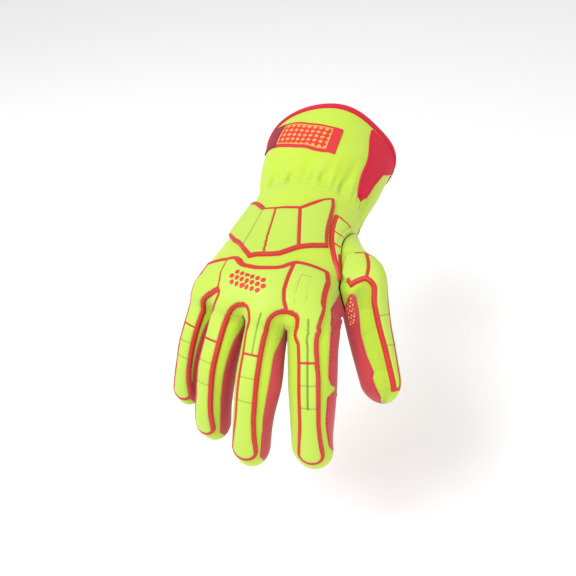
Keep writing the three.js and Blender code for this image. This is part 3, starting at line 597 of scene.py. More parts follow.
def leatherMaterial(name, dotted):
    look = leatherLook
    paint = Paint(name, look["lit"], look["rough"], look["sheen"])
    colour = paint.mixed(paint.noise(45), look["shade"], look["lit"])
    if dotted:
        near = paint.math("LESS_THAN", paint.cells(look["dotPitch"], 0.15), look["dotSize"])
        inward = paint.math("GREATER_THAN", paint.attribute("inward"), look["dotsFrom"])
        colour = paint.mixed(paint.math("MULTIPLY", near, inward), colour, look["dots"])
    return paint.finished(colour, paint.cells(look["grain"]), look["relief"])


def labelMaterial():
    look = labelLook
    paint = Paint("labelCloth", look["ground"], look["rough"])
    sides = [paint.attribute(name) for name in ("fromEnd", "toEnd", "fromTop", "toTop")]
    frames = []
    for grow in (0, look["frame"]):
        within = 1.0
        for value, at in zip(sides, look["frameAt"]):
            within = paint.math("MULTIPLY", paint.math("GREATER_THAN", value, at - grow), within)
        frames.append(within)
    along, down = (paint.math("MULTIPLY", value, 2 * math.pi / look["pitch"]) for value in (sides[0], sides[2]))
    slants = [paint.math("SINE", paint.math(kind, along, down)) for kind in ("ADD", "SUBTRACT")]
    lattice = paint.math("GREATER_THAN", paint.math("MULTIPLY", *slants), look["lattice"])
    frame = paint.math("SUBTRACT", frames[1], frames[0])
    gold = paint.math("ADD", frame, paint.math("MULTIPLY", lattice, frames[0]), True)
    end = paint.math("LESS_THAN", sides[0], look["frameAt"][0] - look["frame"])
    colour = paint.mixed(gold, paint.mixed(end, look["ground"], look["end"]), look["gold"])
    rows = [
        paint.math("MULTIPLY", paint.math("GREATER_THAN", value, look["threadFrom"]),
                   paint.math("LESS_THAN", value, look["threadTo"]))
        for value in sides[2:]
    ]
    dashes = paint.math("GREATER_THAN", paint.wave(sides[0], look["stitch"]), -0.2)
    thread = paint.math("MULTIPLY", paint.math("ADD", *rows, True), dashes)
    return paint.finished(paint.mixed(thread, colour, look["thread"]), paint.noise(1500, 2), 0.1)


def padMaterial():
    look = padLook
    paint = Paint("guardYellow", look["lit"], 0.55)
    colour = paint.mixed(paint.noise(30), look["shade"], look["lit"])
    # Painted shade: the pads darken to the crease colour near their creases, slits and recess
    creaseShadeShare = paint.math("DIVIDE", paint.attribute("crease"), look["creaseShadeWide"])
    colour = paint.mixed(paint.math("SUBTRACT", 1.0, creaseShadeShare, True), colour, look["creaseShade"])
    colour = paint.mixed(paint.math("MULTIPLY", paint.attribute("inlay"), -6.0, True), colour, baseLook["lit"])
    return paint.finished(colour, paint.noise(2500, 2), 0.03)


def plainMaterial(name, look, roughness, scale, depth):
    paint = Paint(name, look["lit"], roughness)
    return paint.finished(paint.mixed(paint.noise(40), look["shade"], look["lit"]), paint.noise(scale, 2), depth)


hiVis = clothMaterial()
leather = leatherMaterial("palmLeather", False)
gripLeather = leatherMaterial("gripLeather", True)
yellowRubber = padMaterial()
redRubber = plainMaterial("guardRed", baseLook, 0.45, 2500, 0.03)
redCloth = plainMaterial("trimCloth", trimLook, 0.85, 1200, 0.12)
labelCloth = labelMaterial()
print("materials ready")

addCamera()
print("camera ready")


# The textile back and the leather palm
panelSizes = {"columns": 34, "flankColumns": 10, "step": 1.15, "backWall": 1.6, "palmWall": 1.8}
flankBulges = (  # how far each finger's thumb side stands out: height, place along, width
    (), (), ((3.5, 2.36, 0.2),), ((5.5, 1.5, 0.26), (3.0, 1.85, 0.2), (-2.6, 2.75, 0.3)),
)
leatherEdges = [  # place along a finger (2 web, 3 tip) and where its leather starts across the back
    (1.86, 1.0), (1.98, 0.93), (2.16, 0.81), (2.4, 0.795), (2.65, 0.8), (2.86, 0.71), (2.94, 0.84), (3.0, 1.0),
]
indexLeatherEdges = [
    (0.82, 1.0), (0.9, 0.8), (1.15, 0.71), (1.65, 0.73), (2.0, 0.79), (2.16, 0.815), (2.3, 0.82), (2.345, 0.88),
    (2.362, 1.0), (2.374, 1.0), (2.41, 0.8), (2.57, 0.785), (2.77, 0.79), (2.84, 0.88), (2.9, 1.0), (3.0, 1.0),
]
thumbLeatherEdges = [
    (0.0, 1.0), (0.3, 0.95), (0.4, 0.86), (0.77, 0.82), (1.02, 0.79), (1.25, 0.82), (1.5, 0.805), (1.68, 0.76),
    (1.73, 0.8), (1.93, 0.78), (1.975, 0.9), (2.0, 1.0),
]


def rowsBetween(start, end, step):
    fine = np.linspace(start, end, 600)
    run = rays[2].station(fine)
    return np.interp(np.linspace(run[0], run[-1], max(int((run[-1] - run[0]) / step), 4)), run, fine)


def calmed(points, weight, reach):
    offsets = np.arange(-reach, reach + 1)
    kernel = np.exp(-2.5 * (offsets / reach) ** 2)
    padded = np.concatenate([points[:1]] * reach + [points] + [points[-1:]] * reach)
    blurred = sum(k * padded[i:i + len(points)] for i, k in enumerate(kernel / kernel.sum()))
    return mix(points, blurred, weight)


def bulged(points, index, q, u):
    if not flankBulges[index]:
        return points
    out = sum(high * bell(u, at, wide) for high, at, wide in flankBulges[index])
    out = out * smooth((q - 0.6) / 0.4) * smooth((3 - u) / 0.2)
    return points + rays[index].frameAt(rays[index].station(u))[2] * out[..., None]


def indexFlank(q, u):
    return bulged(handPoint(3 + q, u), 3, q, u)


def handGrid(index, q, u, side, step):
    points = bulged(fingerPoint(index, q, u, side), index, q, u)
    weight = bell(u, 2, 0.16) * smooth(np.minimum(q, 1 - q) / 0.15)
    return calmed(points, weight[..., None], max(int(6 / step), 1))


def leatherFrom(index, u):
    rows = np.array(indexLeatherEdges if index == 3 else leatherEdges)
    return np.interp(u, rows[:, 0], rows[:, 1])


def capRows(cap, end):
    return cap + (end - cap) * np.sin(np.radians(np.linspace(0, 90, 14)))


def handRows(ray, step):
    cap = 3 - ray.round / (ray.length - ray.webAt)
    return np.concatenate([rowsBetween(0, 2, step)[:-1], rowsBetween(2, cap, step)[:-1], capRows(cap, 3)])


def panelPatch(index, side, start, end, columns):
    step = panelSizes["step"]

    def surface(q, u):
        return handGrid(index, mix(start(u), end(u), q), u, side, step)

    patch = patchOf(surface, np.linspace(0, 1, columns), handRows(rays[index], step), -side)
    run = rays[index].station(patch["b"])
    q = mix(start(patch["b"]), end(patch["b"]), patch["a"])
    flank = smooth((np.abs(q - 0.5) - 0.2) / 0.15) if side > 0 else 0
    patch["values"] = {"ribs": run + 5 * q, "ribShare": smooth((patch["b"] - 1.7) / 0.3) * flank + 0 * run}
    return patch


def makeHandPanels():
    low, high, full, few = np.zeros_like, np.ones_like, panelSizes["columns"], panelSizes["flankColumns"]
    backs, palms = [], []
    for index in range(4):
        edge = partial(leatherFrom, index)
        backs.append(panelPatch(index, 1, low, edge, full))
        flank = panelPatch(index, 1, edge, high, few)
        flank["drop"] = np.repeat(edge(flank["b"][:, :1]) > 0.9999, few, axis=1)
        palm = panelPatch(index, -1, low, high, full)
        flank["points"][:, -1] = palm["points"][:, -1]
        palms += [flank, palm]
    makePiece("backPanel", backs, ["back_panel"], hiVis, panelSizes["backWall"])
    makePiece("palmPanel", palms, ["palm_panel"], leather, panelSizes["palmWall"])


def makeThumbPanels():
    cap = 2 - thumbCap / (1 - thumbSizes["freeFrom"])
    rows = np.concatenate([np.linspace(0, 1, 56)[:-1], np.linspace(1, cap, 56)[:-1], capRows(cap, 2)])
    table = np.array(thumbLeatherEdges)

    def edge(v):
        return np.interp(v, table[:, 0], table[:, 1])

    back = patchOf(lambda t, v: thumbPoint(t * edge(v), v, 1), np.linspace(0, 1, 64), rows, 1)
    share = smooth((back["a"] - 0.72) / 0.06) * smooth((back["b"] - 0.35) / 0.2)
    back["values"] = {"ribs": back["b"] * 62 + 30 * back["a"], "ribShare": share}
    flank = patchOf(lambda t, v: thumbPoint(mix(edge(v), 1, t), v, 1), np.linspace(0, 1, 14), rows, 1)
    flank["drop"] = np.repeat(edge(flank["b"][:, :1]) > 0.9999, 14, axis=1)
    palm = patchOf(lambda t, v: thumbPoint(t, v, -1), np.linspace(0, 1, 60), rows, -1)
    ends = palm["points"][:, [0, -1]]
    nearest = np.linalg.norm(ends[20] - flank["points"][20, -1], axis=-1).argmin()
    flank["points"][:, -1] = ends[:, nearest]
    makePiece("thumbBack", [back], ["thumb_back_panel"], hiVis, panelSizes["backWall"])
    makePiece("thumbPalm", [flank, palm], ["thumb_palm_panel"], leather, panelSizes["palmWall"])


makeHandPanels()
makeThumbPanels()

# The moulded guards: a red base with raised yellow pads, both followed over the cloth
guardSizes = {
    "line": 2.55, "topLine": 1.3, "baseHigh": 2.0, "padHigh": 2.45, "crown": 0.3, "bevel": 0.8, "wall": 0.5,
    "step": 0.66, "under": 0.9, "padSunk": 0.8, "creaseDeep": 0.5, "creaseWide": 0.8, "motifHigh": 0.25,
}


def raised(patch, lift, drop, values):
    patch["points"] = patch["points"] + patch["normals"] * lift[..., None]
    patch["drop"] = drop
    patch["values"] = values
    return patch


def basePatch(patch, edge):
    under = -guardSizes["under"] - patch.get("rise", 0)
    lift = under + (guardSizes["baseHigh"] - under) * smooth((0.7 - edge) / 1.5) ** 0.7
    return raised(patch, lift, edge > 1.0, {})


def padPatch(patch, edge, crease, inlay=None):
    low = guardSizes["baseHigh"] - guardSizes["padSunk"]
    lift = low + (guardSizes["padHigh"] - low) * smooth((0.35 - edge) / guardSizes["bevel"])
    lift = lift + guardSizes["crown"] * (1 - np.exp(np.minimum(edge, 0) / 3))
    lift = lift - guardSizes["creaseDeep"] * smooth(1 - crease / guardSizes["creaseWide"])
    inlay = 0 * crease + 1 if inlay is None else inlay
    lift = lift + guardSizes["motifHigh"] * smooth(0.5 - inlay / 0.4)
    return raised(patch, lift, edge > 0.55, {"crease": crease, "inlay": inlay})


def farFrom(lines, points):
    return np.minimum.reduce([distanceTo(line, points) for line in lines]) if lines else 0 * points[..., 0] + 9


def makeBaseAndPads(name, bases, pads, nodes):
    makePiece(name + "Base", bases, nodes[:1], redRubber, guardSizes["wall"], 0.02)
    makePiece(name + "Pads", pads, nodes[1:], yellowRubber, guardSizes["wall"], 0.02)


# Grooves show the red base between two pads; creases dent them and are darkened with painted shade
def makeGuard(name, surface, across, down, facing, outline, grooves, creases, nodes, lineGrow):
    ring = lineOn(surface, outline, soften=1.0, closed=True)
    pads = patchOf(surface, across, down, facing)
    edge = signedDistance(ring, pads)
    base = basePatch(dict(pads), edge)
    inner = edge + guardSizes["line"] + lineGrow(pads["a"], pads["b"])
    for places, half in grooves:
        inner = np.maximum(inner, half - distanceTo(lineOn(surface, places), pads["points"]))
    crease = farFrom([lineOn(surface, places) for places in creases], pads["points"])
    makeBaseAndPads(name, [base], [padPatch(pads, inner, crease)], nodes)


wristRows = [  # the plate's front edge and its back edge, as places across and along the hand
    ((0.46, 0.1), (0.24, 0.54)), ((0.8, 0.2), (0.79, 0.735)), ((1.13, 0.32), (1.25, 0.83)),
    ((1.34, 0.315), (1.67, 0.89)), ((1.55, 0.31), (2.04, 0.84)), ((1.9, 0.285), (2.43, 0.79)),
    ((2.27, 0.262), (2.8, 0.685)), ((2.65, 0.155), (3.1, 0.63)), ((3.08, 0.06), (3.5, 0.57)),
]
saddleRows = [
    ((0.1, -0.74), (0.12, -0.1)), ((0.2, -0.69), (0.22, -0.08)), ((0.35, -0.59), (0.35, -0.07)),
    ((0.5, -0.48), (0.5, -0.06)), ((0.7, -0.34), (0.65, -0.05)), ((0.86, -0.13), (0.8, -0.04)),
]
thumbRows = [  # the plate's two edges round the thumb, and how far along
    ((0.5, 0.12), (0.74, 0.05)), ((0.34, 0.3), (0.81, 0.32)), ((0.28, 0.5), (0.67, 0.5)),
    ((0.32, 0.7), (0.62, 0.7)), ((0.36, 1.05), (0.61, 1.05)), ((0.38, 1.5), (0.58, 1.5)),
    ((0.4, 1.9), (0.56, 1.9)),
]


def wristSurface(a, u):  # the hand's back with its knuckle valleys evened out
    return sum(handPoint(a + shift, u) for shift in (-0.12, -0.06, 0, 0.06, 0.12)) / 5


def outlineOf(rows):
    return [row[0] for row in rows] + [row[1] for row in rows[::-1]]


makeGuard(
    "wristGuard", wristSurface, np.linspace(0.14, 3.62, 160), np.linspace(0.02, 0.93, 200), -1,
    outlineOf(wristRows), [(wristRows[4], 0.55), (wristRows[6], 1.05)], [wristRows[2]],
    ["wrist_guard_base", "wrist_pad_1", "wrist_pad_2", "wrist_pad_3", "wrist_pad_4"],
    lambda a, u: guardSizes["topLine"] * smooth((0.4 - u) / 0.12) * smooth((2.9 - a) / 0.2),
)
makeGuard(
    "saddleGuard", sidePoint, np.linspace(0.05, 0.9, 110), np.linspace(-0.8, -0.005, 60), 1,
    outlineOf(saddleRows), [(saddleRows[2], 0.6), (saddleRows[3], 0.75)], [],
    ["saddle_guard_base", "saddle_pad_1", "saddle_pad_2", "saddle_pad_3"],
    lambda t, w: -2.3 * smooth((w + 0.22) / 0.06) * smooth((0.62 - t) / 0.05),
)
makeGuard(
    "thumbGuard", thumbPoint, np.linspace(0.22, 0.86, 84), np.linspace(0.02, 1.96, 150), 1,
    outlineOf(thumbRows), [([(0.66, 0.5), (0.44, 0.37), (0.24, 0.25)], 0.9)],
    [[(0.34, 1.09), (0.63, 1.09)], [(0.34, 1.435), (0.63, 1.435)]],
    ["thumb_guard_base", "thumb_pad_1", "thumb_pad_2", "thumb_pad_3", "thumb_pad_4"],
    lambda t, v: -2.3 * smooth((0.24 - v) / 0.06) * smooth((t - 0.38) / 0.08),
)

# The knuckle guard's edges, as places across the hand (0 to 4) and along it (1 knuckle, 2 web, 3 fingertip)
knuckleTop = [(0.4, 0.96), (1.33, 0.9), (1.7, 0.93), (2.59, 0.895), (2.9, 0.82), (3.5, 0.81)]
knuckleShape = {
    "halves": (0.2, 0.2, 0.2, 0.168), "legs": 2.08, "end": 2.885, "from": 0.7, "to": 2.94, "columns": 66,
    "bridge": 24, "arches": ((1.27, 1.42), (2.10, 1.56), (3.03, 1.5)),
}
knuckleGrooves = [  # places and half width in millimetres
    ([(1.04, 0.9), (1.2, 1.2), (1.27, 1.44)], 0.55),
    ([(2.89, 0.8), (2.97, 1.2), (3.03, 1.56)], 1.0),
]
blockRows = {"red": 2.2, "creases": (2.335, 2.465)}
knuckleSlits = [
    ([(3.342, 1.6), (3.39, 1.77), (3.46, 1.93), (3.505, 2.02), (3.522, 2.1), (3.518, 2.47)], 0.3),
    ([(2.56, 1.62), (2.5, 2.05), (2.5, 2.19)], 0.1),
]
recess = [(3.09, 0.92), (3.22, 0.92), (3.24, 1.28), (3.11, 1.28)]
motif = {"centre": (2.0, 1.02), "wide": 15.5, "high": 6.6, "pitch": 4.0, "cell": 1.6}

# How far the strips lean across where they leave the plate, and how early and how late in the bend,
# and how far their left and right edges are moved at the web
stripLean = ((0.3, 2.0, 1), (0.12, 1.6, 1), (0.06, 1.0, 1), (-0.38, 1.0, 3))
stripShift = ((-0.06, -0.07), (-0.06, -0.06), (0.0, -0.06), (0.02, 0.0))


def stripEdge(index, way, shifted=True):  # a strip's left edge is way -1, its right edge way 1
    shift = stripShift[index][way > 0] if shifted else 0
    return index + fingers[index]["strip"] + way * knuckleShape["halves"][index] + shift


def archPlaces(index):
    top, high = knuckleShape["arches"][index - 1]
    left, right = stripEdge(index, -1), stripEdge(index - 1, 1)
    ray, fine = rays[index], np.linspace(1, 3, 400)
    y0, y1 = ray.station(np.array(high)), ray.station(np.array(knuckleShape["legs"]))
    places = []
    for turn in np.linspace(0, math.pi, 25):
        c = math.cos(turn)
        lean, early, late = stripLean[index if c > 0 else index - 1]
        a = top + (left - top) * c if c > 0 else top - (top - right) * -c
        u = np.interp(y1 - (y1 - y0) * math.sin(turn) ** 0.6, ray.station(fine), fine)
        places.append((a + lean * abs(c) ** late * max(math.sin(turn), 0) ** early, float(u)))
    return places


def stripEnd(index):
    finger, ray, half = fingers[index], rays[index], knuckleShape["halves"][index]
    reach = half * math.pi * finger["half"] / (ray.length - ray.webAt)
    centre = index + finger["strip"]
    turns = np.linspace(0, math.pi, 21)
    return [(centre + half * math.cos(t), knuckleShape["end"] - reach + reach * math.sin(t)) for t in turns]


def knuckleOutline():
    places = [(a, float(readRows(knuckleTop, np.array(a), 1))) for a in (0.48, *np.linspace(0.6, 3.4, 30), 3.5)]
    places += [(3.57, 1.38), (3.57, 1.6), (3.58, 1.78), (3.645, 1.93), (3.645, 2.08)]
    places.append((stripEdge(3, 1, False), 2.3))
    for index in (3, 2, 1, 0):
        places += stripEnd(index)
        if index:
            places += archPlaces(index)
    return places + [(stripEdge(0, -1), 2.05), (0.40, 1.7), (0.38, 1.38)]


def knucklePatches():
    step, columns = guardSizes["step"], knuckleShape["columns"]
    spans = ((knuckleShape["from"], 1.1, step / 2), (1.1, 2, step), (2, knuckleShape["to"], step))
    rows = np.concatenate([rowsBetween(*span)[:-1] for span in spans])
    body = int((rows < 1.9999).sum())
    q, u = np.meshgrid(np.linspace(0, 1, columns), rows)
    grids = [handGrid(i, q, u, 1, step) for i in range(4)]
    whole = np.concatenate([grids[0][:body]] + [grid[:body, 1:] for grid in grids[1:]], axis=1)
    bridge = np.swapaxes(calmed(np.swapaxes(whole, 0, 1), 1, knuckleShape["bridge"]), 0, 1)
    bridges = [bridge[:, i * (columns - 1):][:, :columns] for i in range(4)]
    spanned = [np.concatenate([bridges[i], grids[i][body:]]) for i in range(4)]
    fade = 1 - smooth((u - 1.7) / 0.28)
    rises = []
    for i, normals in enumerate(normalsOf(spanned, body)):  # the plate spans the valleys between the knuckles
        over = bridges[i] - grids[i][:body]
        rise = np.zeros(q.shape)
        rise[:body] = np.maximum((over * normals[:body]).sum(-1), 0)
        rises.append(rise * fade)
        grids[i][:body] += over * (smooth(rise[:body] / 0.6) * fade[:body])[..., None]
    a = np.clip(q, 1e-4, 1 - 1e-4)
    return [
        {"a": i + a, "b": u, "points": grid, "normals": normals, "facing": -1, "rise": rise}
        for i, (grid, normals, rise) in enumerate(zip(grids, normalsOf(grids, body), rises))
    ]


def normalsOf(grids, body):
    slopes = [np.gradient(grid, axis=1) for grid in grids]
    for i in range(3):  # two fingers share their border as far as the web
        slopes[i][:body, -1] = slopes[i + 1][:body, 0] = (grids[i + 1][:body, 1] - grids[i][:body, -2]) / 2
    return [-unit(np.cross(slope, np.gradient(grid, axis=0))) for grid, slope in zip(grids, slopes)]


def plateSurface(patches):
    rows, last = patches[0]["b"][:, 0], patches[0]["a"].shape[1] - 1
    grid = np.stack([patch["points"] for patch in patches])

    def surface(a, u):
        a, u = np.broadcast_arrays(np.asarray(a, float), np.asarray(u, float))
        i = np.clip(np.floor(a), 0, 3).astype(int)
        column = np.clip(a - i, 0, 1) * last
        row = np.interp(u, rows, np.arange(len(rows)))
        c, r = np.minimum(column.astype(int), last - 1), np.minimum(row.astype(int), len(rows) - 2)
        across, down = (column - c)[..., None], (row - r)[..., None]
        near = mix(grid[i, r, c], grid[i, r, c + 1], across)
        return mix(near, mix(grid[i, r + 1, c], grid[i, r + 1, c + 1], across), down)

    return surface


def motifEdge(surface, points):
    a, u = motif["centre"]
    near = surface(np.array([a - 0.1, a + 0.1, a, a]), np.array([u, u, u - 0.05, u + 0.05]))
    level = unit(near[1] - near[0])
    steep = unit((near[3] - near[2]) - ((near[3] - near[2]) @ level) * level)
    away = points - surface(np.array([a]), np.array([u]))[0]
    x, y = away @ level, away @ steep
    pitch, high = motif["pitch"], motif["pitch"] * math.sqrt(3) / 2
    best = 0 * x + 9
    for row in range(-2, 3):
        shift = pitch / 2 * (row % 2)
        for column in range(-4, 5):
            cx, cy = column * pitch + shift, row * high
            if (cx / motif["wide"]) ** 2 + (cy / motif["high"]) ** 2 > 1:
                continue
            dx, dy = np.abs(x - cx), np.abs(y - cy)
            best = np.minimum(best, np.maximum(dx, dx / 2 + dy * math.sqrt(3) / 2) - motif["cell"])
    return best


def lineAcross(surface, centre, u):
    return lineOn(surface, [(centre - 0.22, u), (centre + 0.22, u)])


def makeKnuckleGuard():
    patches = knucklePatches()
    surface = plateSurface(patches)
    ring = lineOn(surface, knuckleOutline(), soften=2.0, closed=True)
    grooves = [(lineOn(surface, places), half) for places, half in knuckleGrooves]
    slits = [(lineOn(surface, places), half) for places, half in knuckleSlits]
    recessLine = lineOn(surface, recess, soften=1.0, closed=True)
    bases, pads = [], []
    for i, patch in enumerate(patches):
        points = patch["points"]
        edge = signedDistance(ring, patch)
        bases.append(basePatch(dict(patch), edge))
        across = partial(lineAcross, surface, i + fingers[i]["strip"])
        inner = edge + guardSizes["line"] + guardSizes["topLine"] * smooth((1.3 - patch["b"]) / 0.15)
        for line, half in grooves + [(across(blockRows["red"]), 0.45)]:
            inner = np.maximum(inner, half - distanceTo(line, points))
        # The creases, the recess and the slits dent the pads and carry painted shade
        crease = farFrom([across(u) for u in blockRows["creases"]], points)
        crease = np.minimum(crease, distanceTo(recessLine, points) + 0.15)
        for line, half in slits:
            crease = np.minimum(crease, np.maximum(distanceTo(line, points) - half, 0))
        pads.append(padPatch(dict(patch), inner, crease, motifEdge(surface, points)))
    nodes = ["knuckle_guard_base"] + ["knuckle_pad_" + name for name in ("little", "ring", "index")]
    nodes += [finger["name"] + "_" + part for finger in fingers for part in ("block_1", "block_2", "tip_pad")]
    makeBaseAndPads("knuckleGuard", bases, pads, nodes)


makeKnuckleGuard()

# The cuff, its rim's binding, the gusset and the label
cuffDetail = {
    "wall": 1.5, "bindingWide": 4.6, "bindingWall": 0.5, "patchHigh": 1.15, "patchWall": 0.4, "overlap": 1.6,
    "elasticAt": 0.13, "elasticWide": 0.075, "elasticLine": (0.55, 0.014),
    "puckers": ((31, 0.5, 0), (43, 0.4, 1.7), (19, 0.6, 4.2), (7, 0.5, 2)),
}
gussetPlaces = [
    (46, 0.93), (44, 0.78), (37, 0.55), (36, 0.38), (31, 0.2), (22, 0.165), (12, 0.26), (10, 0.45), (4, 0.66),
    (-8, 0.8), (-12, 0.93),
]
labelRows = [
    ((148, 0.93), (159, 0.66)), ((126, 0.82), (136, 0.56)), ((104, 0.735), (113, 0.47)), ((88, 0.705), (92, 0.42)),
    ((73, 0.7), (72.5, 0.41)),
]


def bindingPoint(turn, k):
    over = np.clip((k - 0.42) / 0.16, 0, 1)
    start = 1 - cuffDetail["bindingWide"] / cuffSizes["length"]
    s = np.interp(k, [0, 0.42, 0.58, 1], [start, 1, 1, start])
    outside = np.interp(k, [0, 0.04, 0.42], [-0.3, 1.15, 1.3])
    inside = np.interp(k, [0.58, 0.96, 1], [-2.9, -2.75, -1.2])
    rim = mix(1.3, -2.9, (1 - np.cos(np.pi * over)) / 2)
    points = cuffPoint(turn, s, np.where(k < 0.42, outside, np.where(k > 0.58, inside, rim)))
    points[..., 1] += 1.5 * np.sin(np.pi * over)
    return points


def makeCuffBody():
    body = patchOf(cuffPoint, np.linspace(0, 360, 421), np.linspace(0, 1, 110), -1)
    turn, s = body["a"], body["b"]
    deep, wide = cuffDetail["elasticLine"]
    puckers = waves(turn, cuffDetail["puckers"]) * bell(s, cuffDetail["elasticAt"], cuffDetail["elasticWide"])
    line = deep * bell(s, cuffDetail["elasticAt"], wide)
    body["points"] = body["points"] + body["normals"] * (puckers - line)[..., None]
    body["points"][0, :, 1] -= cuffDetail["overlap"]
    body["points"][:2] += body["normals"][:2] * 0.12
    makePiece("cuffBody", [body], ["cuff"], hiVis, cuffDetail["wall"])


def makeBinding():
    binding = patchOf(bindingPoint, np.linspace(0, 360, 241), np.linspace(0, 1, 40), -1)
    makePiece("cuffBinding", [binding], ["cuff_binding"], redCloth, cuffDetail["bindingWall"])


def makeGusset():
    ring = lineOn(cuffPoint, gussetPlaces, soften=4.0, closed=True)
    gusset = patchOf(cuffPoint, np.linspace(-18, 52, 90), np.linspace(0.12, 0.95, 100), -1)
    edge = signedDistance(ring, gusset)
    seam = smooth(1 - np.abs(edge + 2.2) / 0.5)
    lift = -0.6 + (cuffDetail["patchHigh"] + 0.6) * smooth((0.5 - edge) / 1.0) - 0.3 * seam
    made = raised(gusset, lift, edge > 0.7, {})
    makePiece("cuffGusset", [made], ["cuff_gusset"], redCloth, cuffDetail["patchWall"])


def makeLabel():
    ring = lineOn(cuffPoint, outlineOf(labelRows), soften=0.5, closed=True)
    label = patchOf(cuffPoint, np.linspace(68, 164, 170), np.linspace(0.36, 0.97, 120), -1)
    edge = signedDistance(ring, label)
    sides = (labelRows[0], labelRows[-1], [row[0] for row in labelRows], [row[1] for row in labelRows])
    far = [distanceTo(lineOn(cuffPoint, places), label["points"]) for places in sides]
    lift = -0.5 + (cuffDetail["patchHigh"] + 0.5) * smooth((0.4 - edge) / 0.7)
    made = raised(label, lift, edge > 0.5, dict(zip(("fromEnd", "toEnd", "fromTop", "toTop"), far)))
    makePiece("cuffLabel", [made], ["cuff_label"], labelCloth, cuffDetail["patchWall"])


makeCuffBody()
makeBinding()
makeGusset()
makeLabel()

# The patch in the thumb's crotch
crotchPlaces = [
    (0.9, 0.34), (0.85, 0.42), (0.815, 0.75), (0.785, 1.0), (0.81, 1.12), (0.9, 1.2), (0.985, 1.2), (0.985, 0.8),
    (0.985, 0.4),
]


def makeCrotchPatch():
    ring = lineOn(thumbPoint, crotchPlaces, soften=1.5, closed=True)
    patch = patchOf(thumbPoint, np.linspace(0.75, 1, 70), np.linspace(0.3, 1.26, 90), 1)
    edge = signedDistance(ring, patch)
    lift = -0.6 + 1.7 * smooth((0.5 - edge) / 1.0) - 0.25 * smooth(1 - np.abs(edge + 1.6) / 0.4)
    made = raised(patch, lift, edge > 0.7, {"inward": -edge})
    wall = cuffDetail["patchWall"]
    makePiece("thumbCrotchPatch", [made], ["thumb_crotch_patch"], gripLeather, wall)


makeCrotchPatch()

# Rows of stitches, small threads sunk in the cloth and the leather
stitchSizes = {"long": 2.1, "pitch": 3.1, "half": 0.28, "high": 0.12, "sides": 6, "step": 0.1}
stitchSections = ((0, 0.35), (0.14, 0.85), (0.5, 1.0), (0.86, 0.85), (1, 0.35))  # along a stitch, its thickness


def stitchRow(surface, places, facing, high, closed=False):
    step, e = stitchSizes["step"], 0.004
    line = lineOn(surface, places, soften=1.5, closed=closed, step=step)
    a, b = line["places"][:, 0], line["places"][:, 1]
    out = unit(np.cross(surface(a + e, b) - surface(a - e, b), surface(a, b + e) - surface(a, b - e))) * facing
    raisedLine = line["points"] + (high + stitchSizes["high"]) * out
    count = int(stitchSizes["long"] / step)
    starts = range(0, len(a) - count, int(stitchSizes["pitch"] / step))
    return [(raisedLine[i], raisedLine[i + count], out[i]) for i in starts]


def makeStitches(name, rows, material):
    vertices, faces = [], []
    sides, last = stitchSizes["sides"], len(stitchSections) - 1
    for start, end, out in rows:
        side = np.cross(unit(end - start), out)
        first = len(vertices)
        for share, thick in stitchSections:
            sink = out * stitchSizes["high"] * 3 * (2 * share - 1) ** 2
            for turn in np.linspace(0, 2 * np.pi, sides, endpoint=False):
                ring = (side * math.cos(turn) + out * math.sin(turn)) * stitchSizes["half"] * thick
                vertices.append(tuple((mix(start, end, share) + ring - sink) * mm))
        for k in range(last):
            for j in range(sides):
                near, n = first + k * sides, (j + 1) % sides
                faces.append((near + j, near + n, near + sides + n, near + sides + j))
        faces.append(tuple(first + j for j in range(sides))[::-1])
        faces.append(tuple(first + last * sides + j for j in range(sides)))
    mesh = bpy.data.meshes.new(name)
    mesh.from_pydata(vertices, [], faces)
    mesh.materials.append(material)
    piece = placed(name, mesh)
    editAlone(piece)
    bpy.ops.mesh.normals_make_consistent(inside=False)
    bpy.ops.object.mode_set(mode="OBJECT")
    bpy.ops.object.shade_smooth()
    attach(piece, "root")
    print("made", name, len(rows))


def inset(rows, by):
    return [(q + by, u) for u, q in rows if q < 0.99]


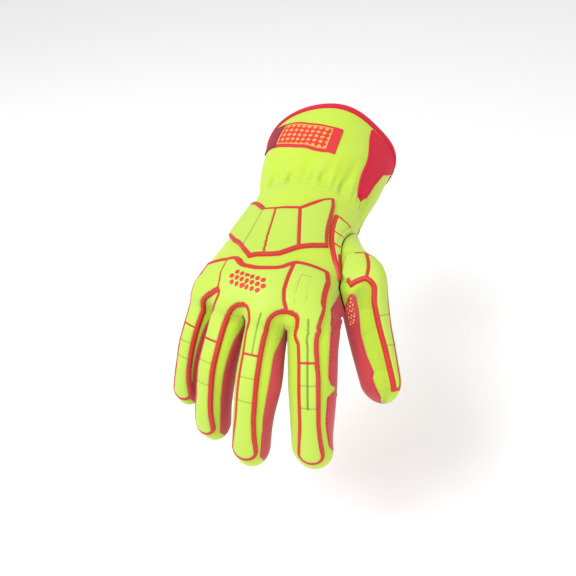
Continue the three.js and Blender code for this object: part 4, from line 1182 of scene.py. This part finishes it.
cuffSeam = [(turn, 0.035) for turn in range(0, 361, 10)]
rimSeam = [(turn, 1 - cuffDetail["bindingWide"] * 0.82 / cuffSizes["length"]) for turn in range(0, 361, 10)]
gussetInset = [
    (43, 0.9), (41.5, 0.78), (34.5, 0.55), (33.5, 0.38), (29, 0.225), (22, 0.195), (14.5, 0.28), (12.5, 0.46),
    (7, 0.68),
]
leatherRows = stitchRow(thumbPoint, inset(thumbLeatherEdges[2:], 0.022), 1, 0.1)
leatherRows += stitchRow(indexFlank, inset(indexLeatherEdges[2:8], 0.03), -1, 0.1)
leatherRows += stitchRow(indexFlank, inset(indexLeatherEdges[10:13], 0.03), -1, 0.1)
makeStitches("leatherStitches", leatherRows, redCloth)
makeStitches("cuffStitches", stitchRow(cuffPoint, cuffSeam, -1, 0.1), hiVis)
trimRows = stitchRow(cuffPoint, gussetInset, -1, cuffDetail["patchHigh"])
trimRows += stitchRow(cuffPoint, rimSeam, -1, 1.25)
makeStitches("trimStitches", trimRows, redCloth)

# Floor and light
floorSizes = {"low": -0.2, "half": 4.0}
floor = placed("floor", bpy.data.meshes.new("floor"))
half, low = floorSizes["half"], floorSizes["low"]
corners = [(-half, -half, low), (half, -half, low), (half, half, low), (-half, half, low)]
floor.data.from_pydata(corners, [], [(0, 1, 2, 3)])
floor.data.materials.append(Paint("floorPaint", (0.97, 0.97, 0.97), 0.9).material)

lightSizes = {"sky": 0.8, "key": 9.0, "fill": 3.0, "target": (0, -0.05, 0)}
world = bpy.data.worlds.new("studio")
world.use_nodes = True
world.node_tree.nodes["Background"].inputs[0].default_value = (1, 1, 1, 1)
world.node_tree.nodes["Background"].inputs[1].default_value = lightSizes["sky"]
bpy.context.scene.world = world
bpy.context.scene.view_settings.view_transform = "Standard"


def addLight(name, place, size):
    light = bpy.data.lights.new(name, "AREA")
    light.energy, light.size = lightSizes[name], size
    lamp = placed(name, light)
    lamp.location = place
    lamp.rotation_euler = (Vector(lightSizes["target"]) - Vector(place)).to_track_quat("-Z", "Y").to_euler()


addLight("key", (-0.5, -0.5, 0.9), 0.6)
addLight("fill", (0.8, -0.6, 0.5), 0.8)
print("floor and lights ready")
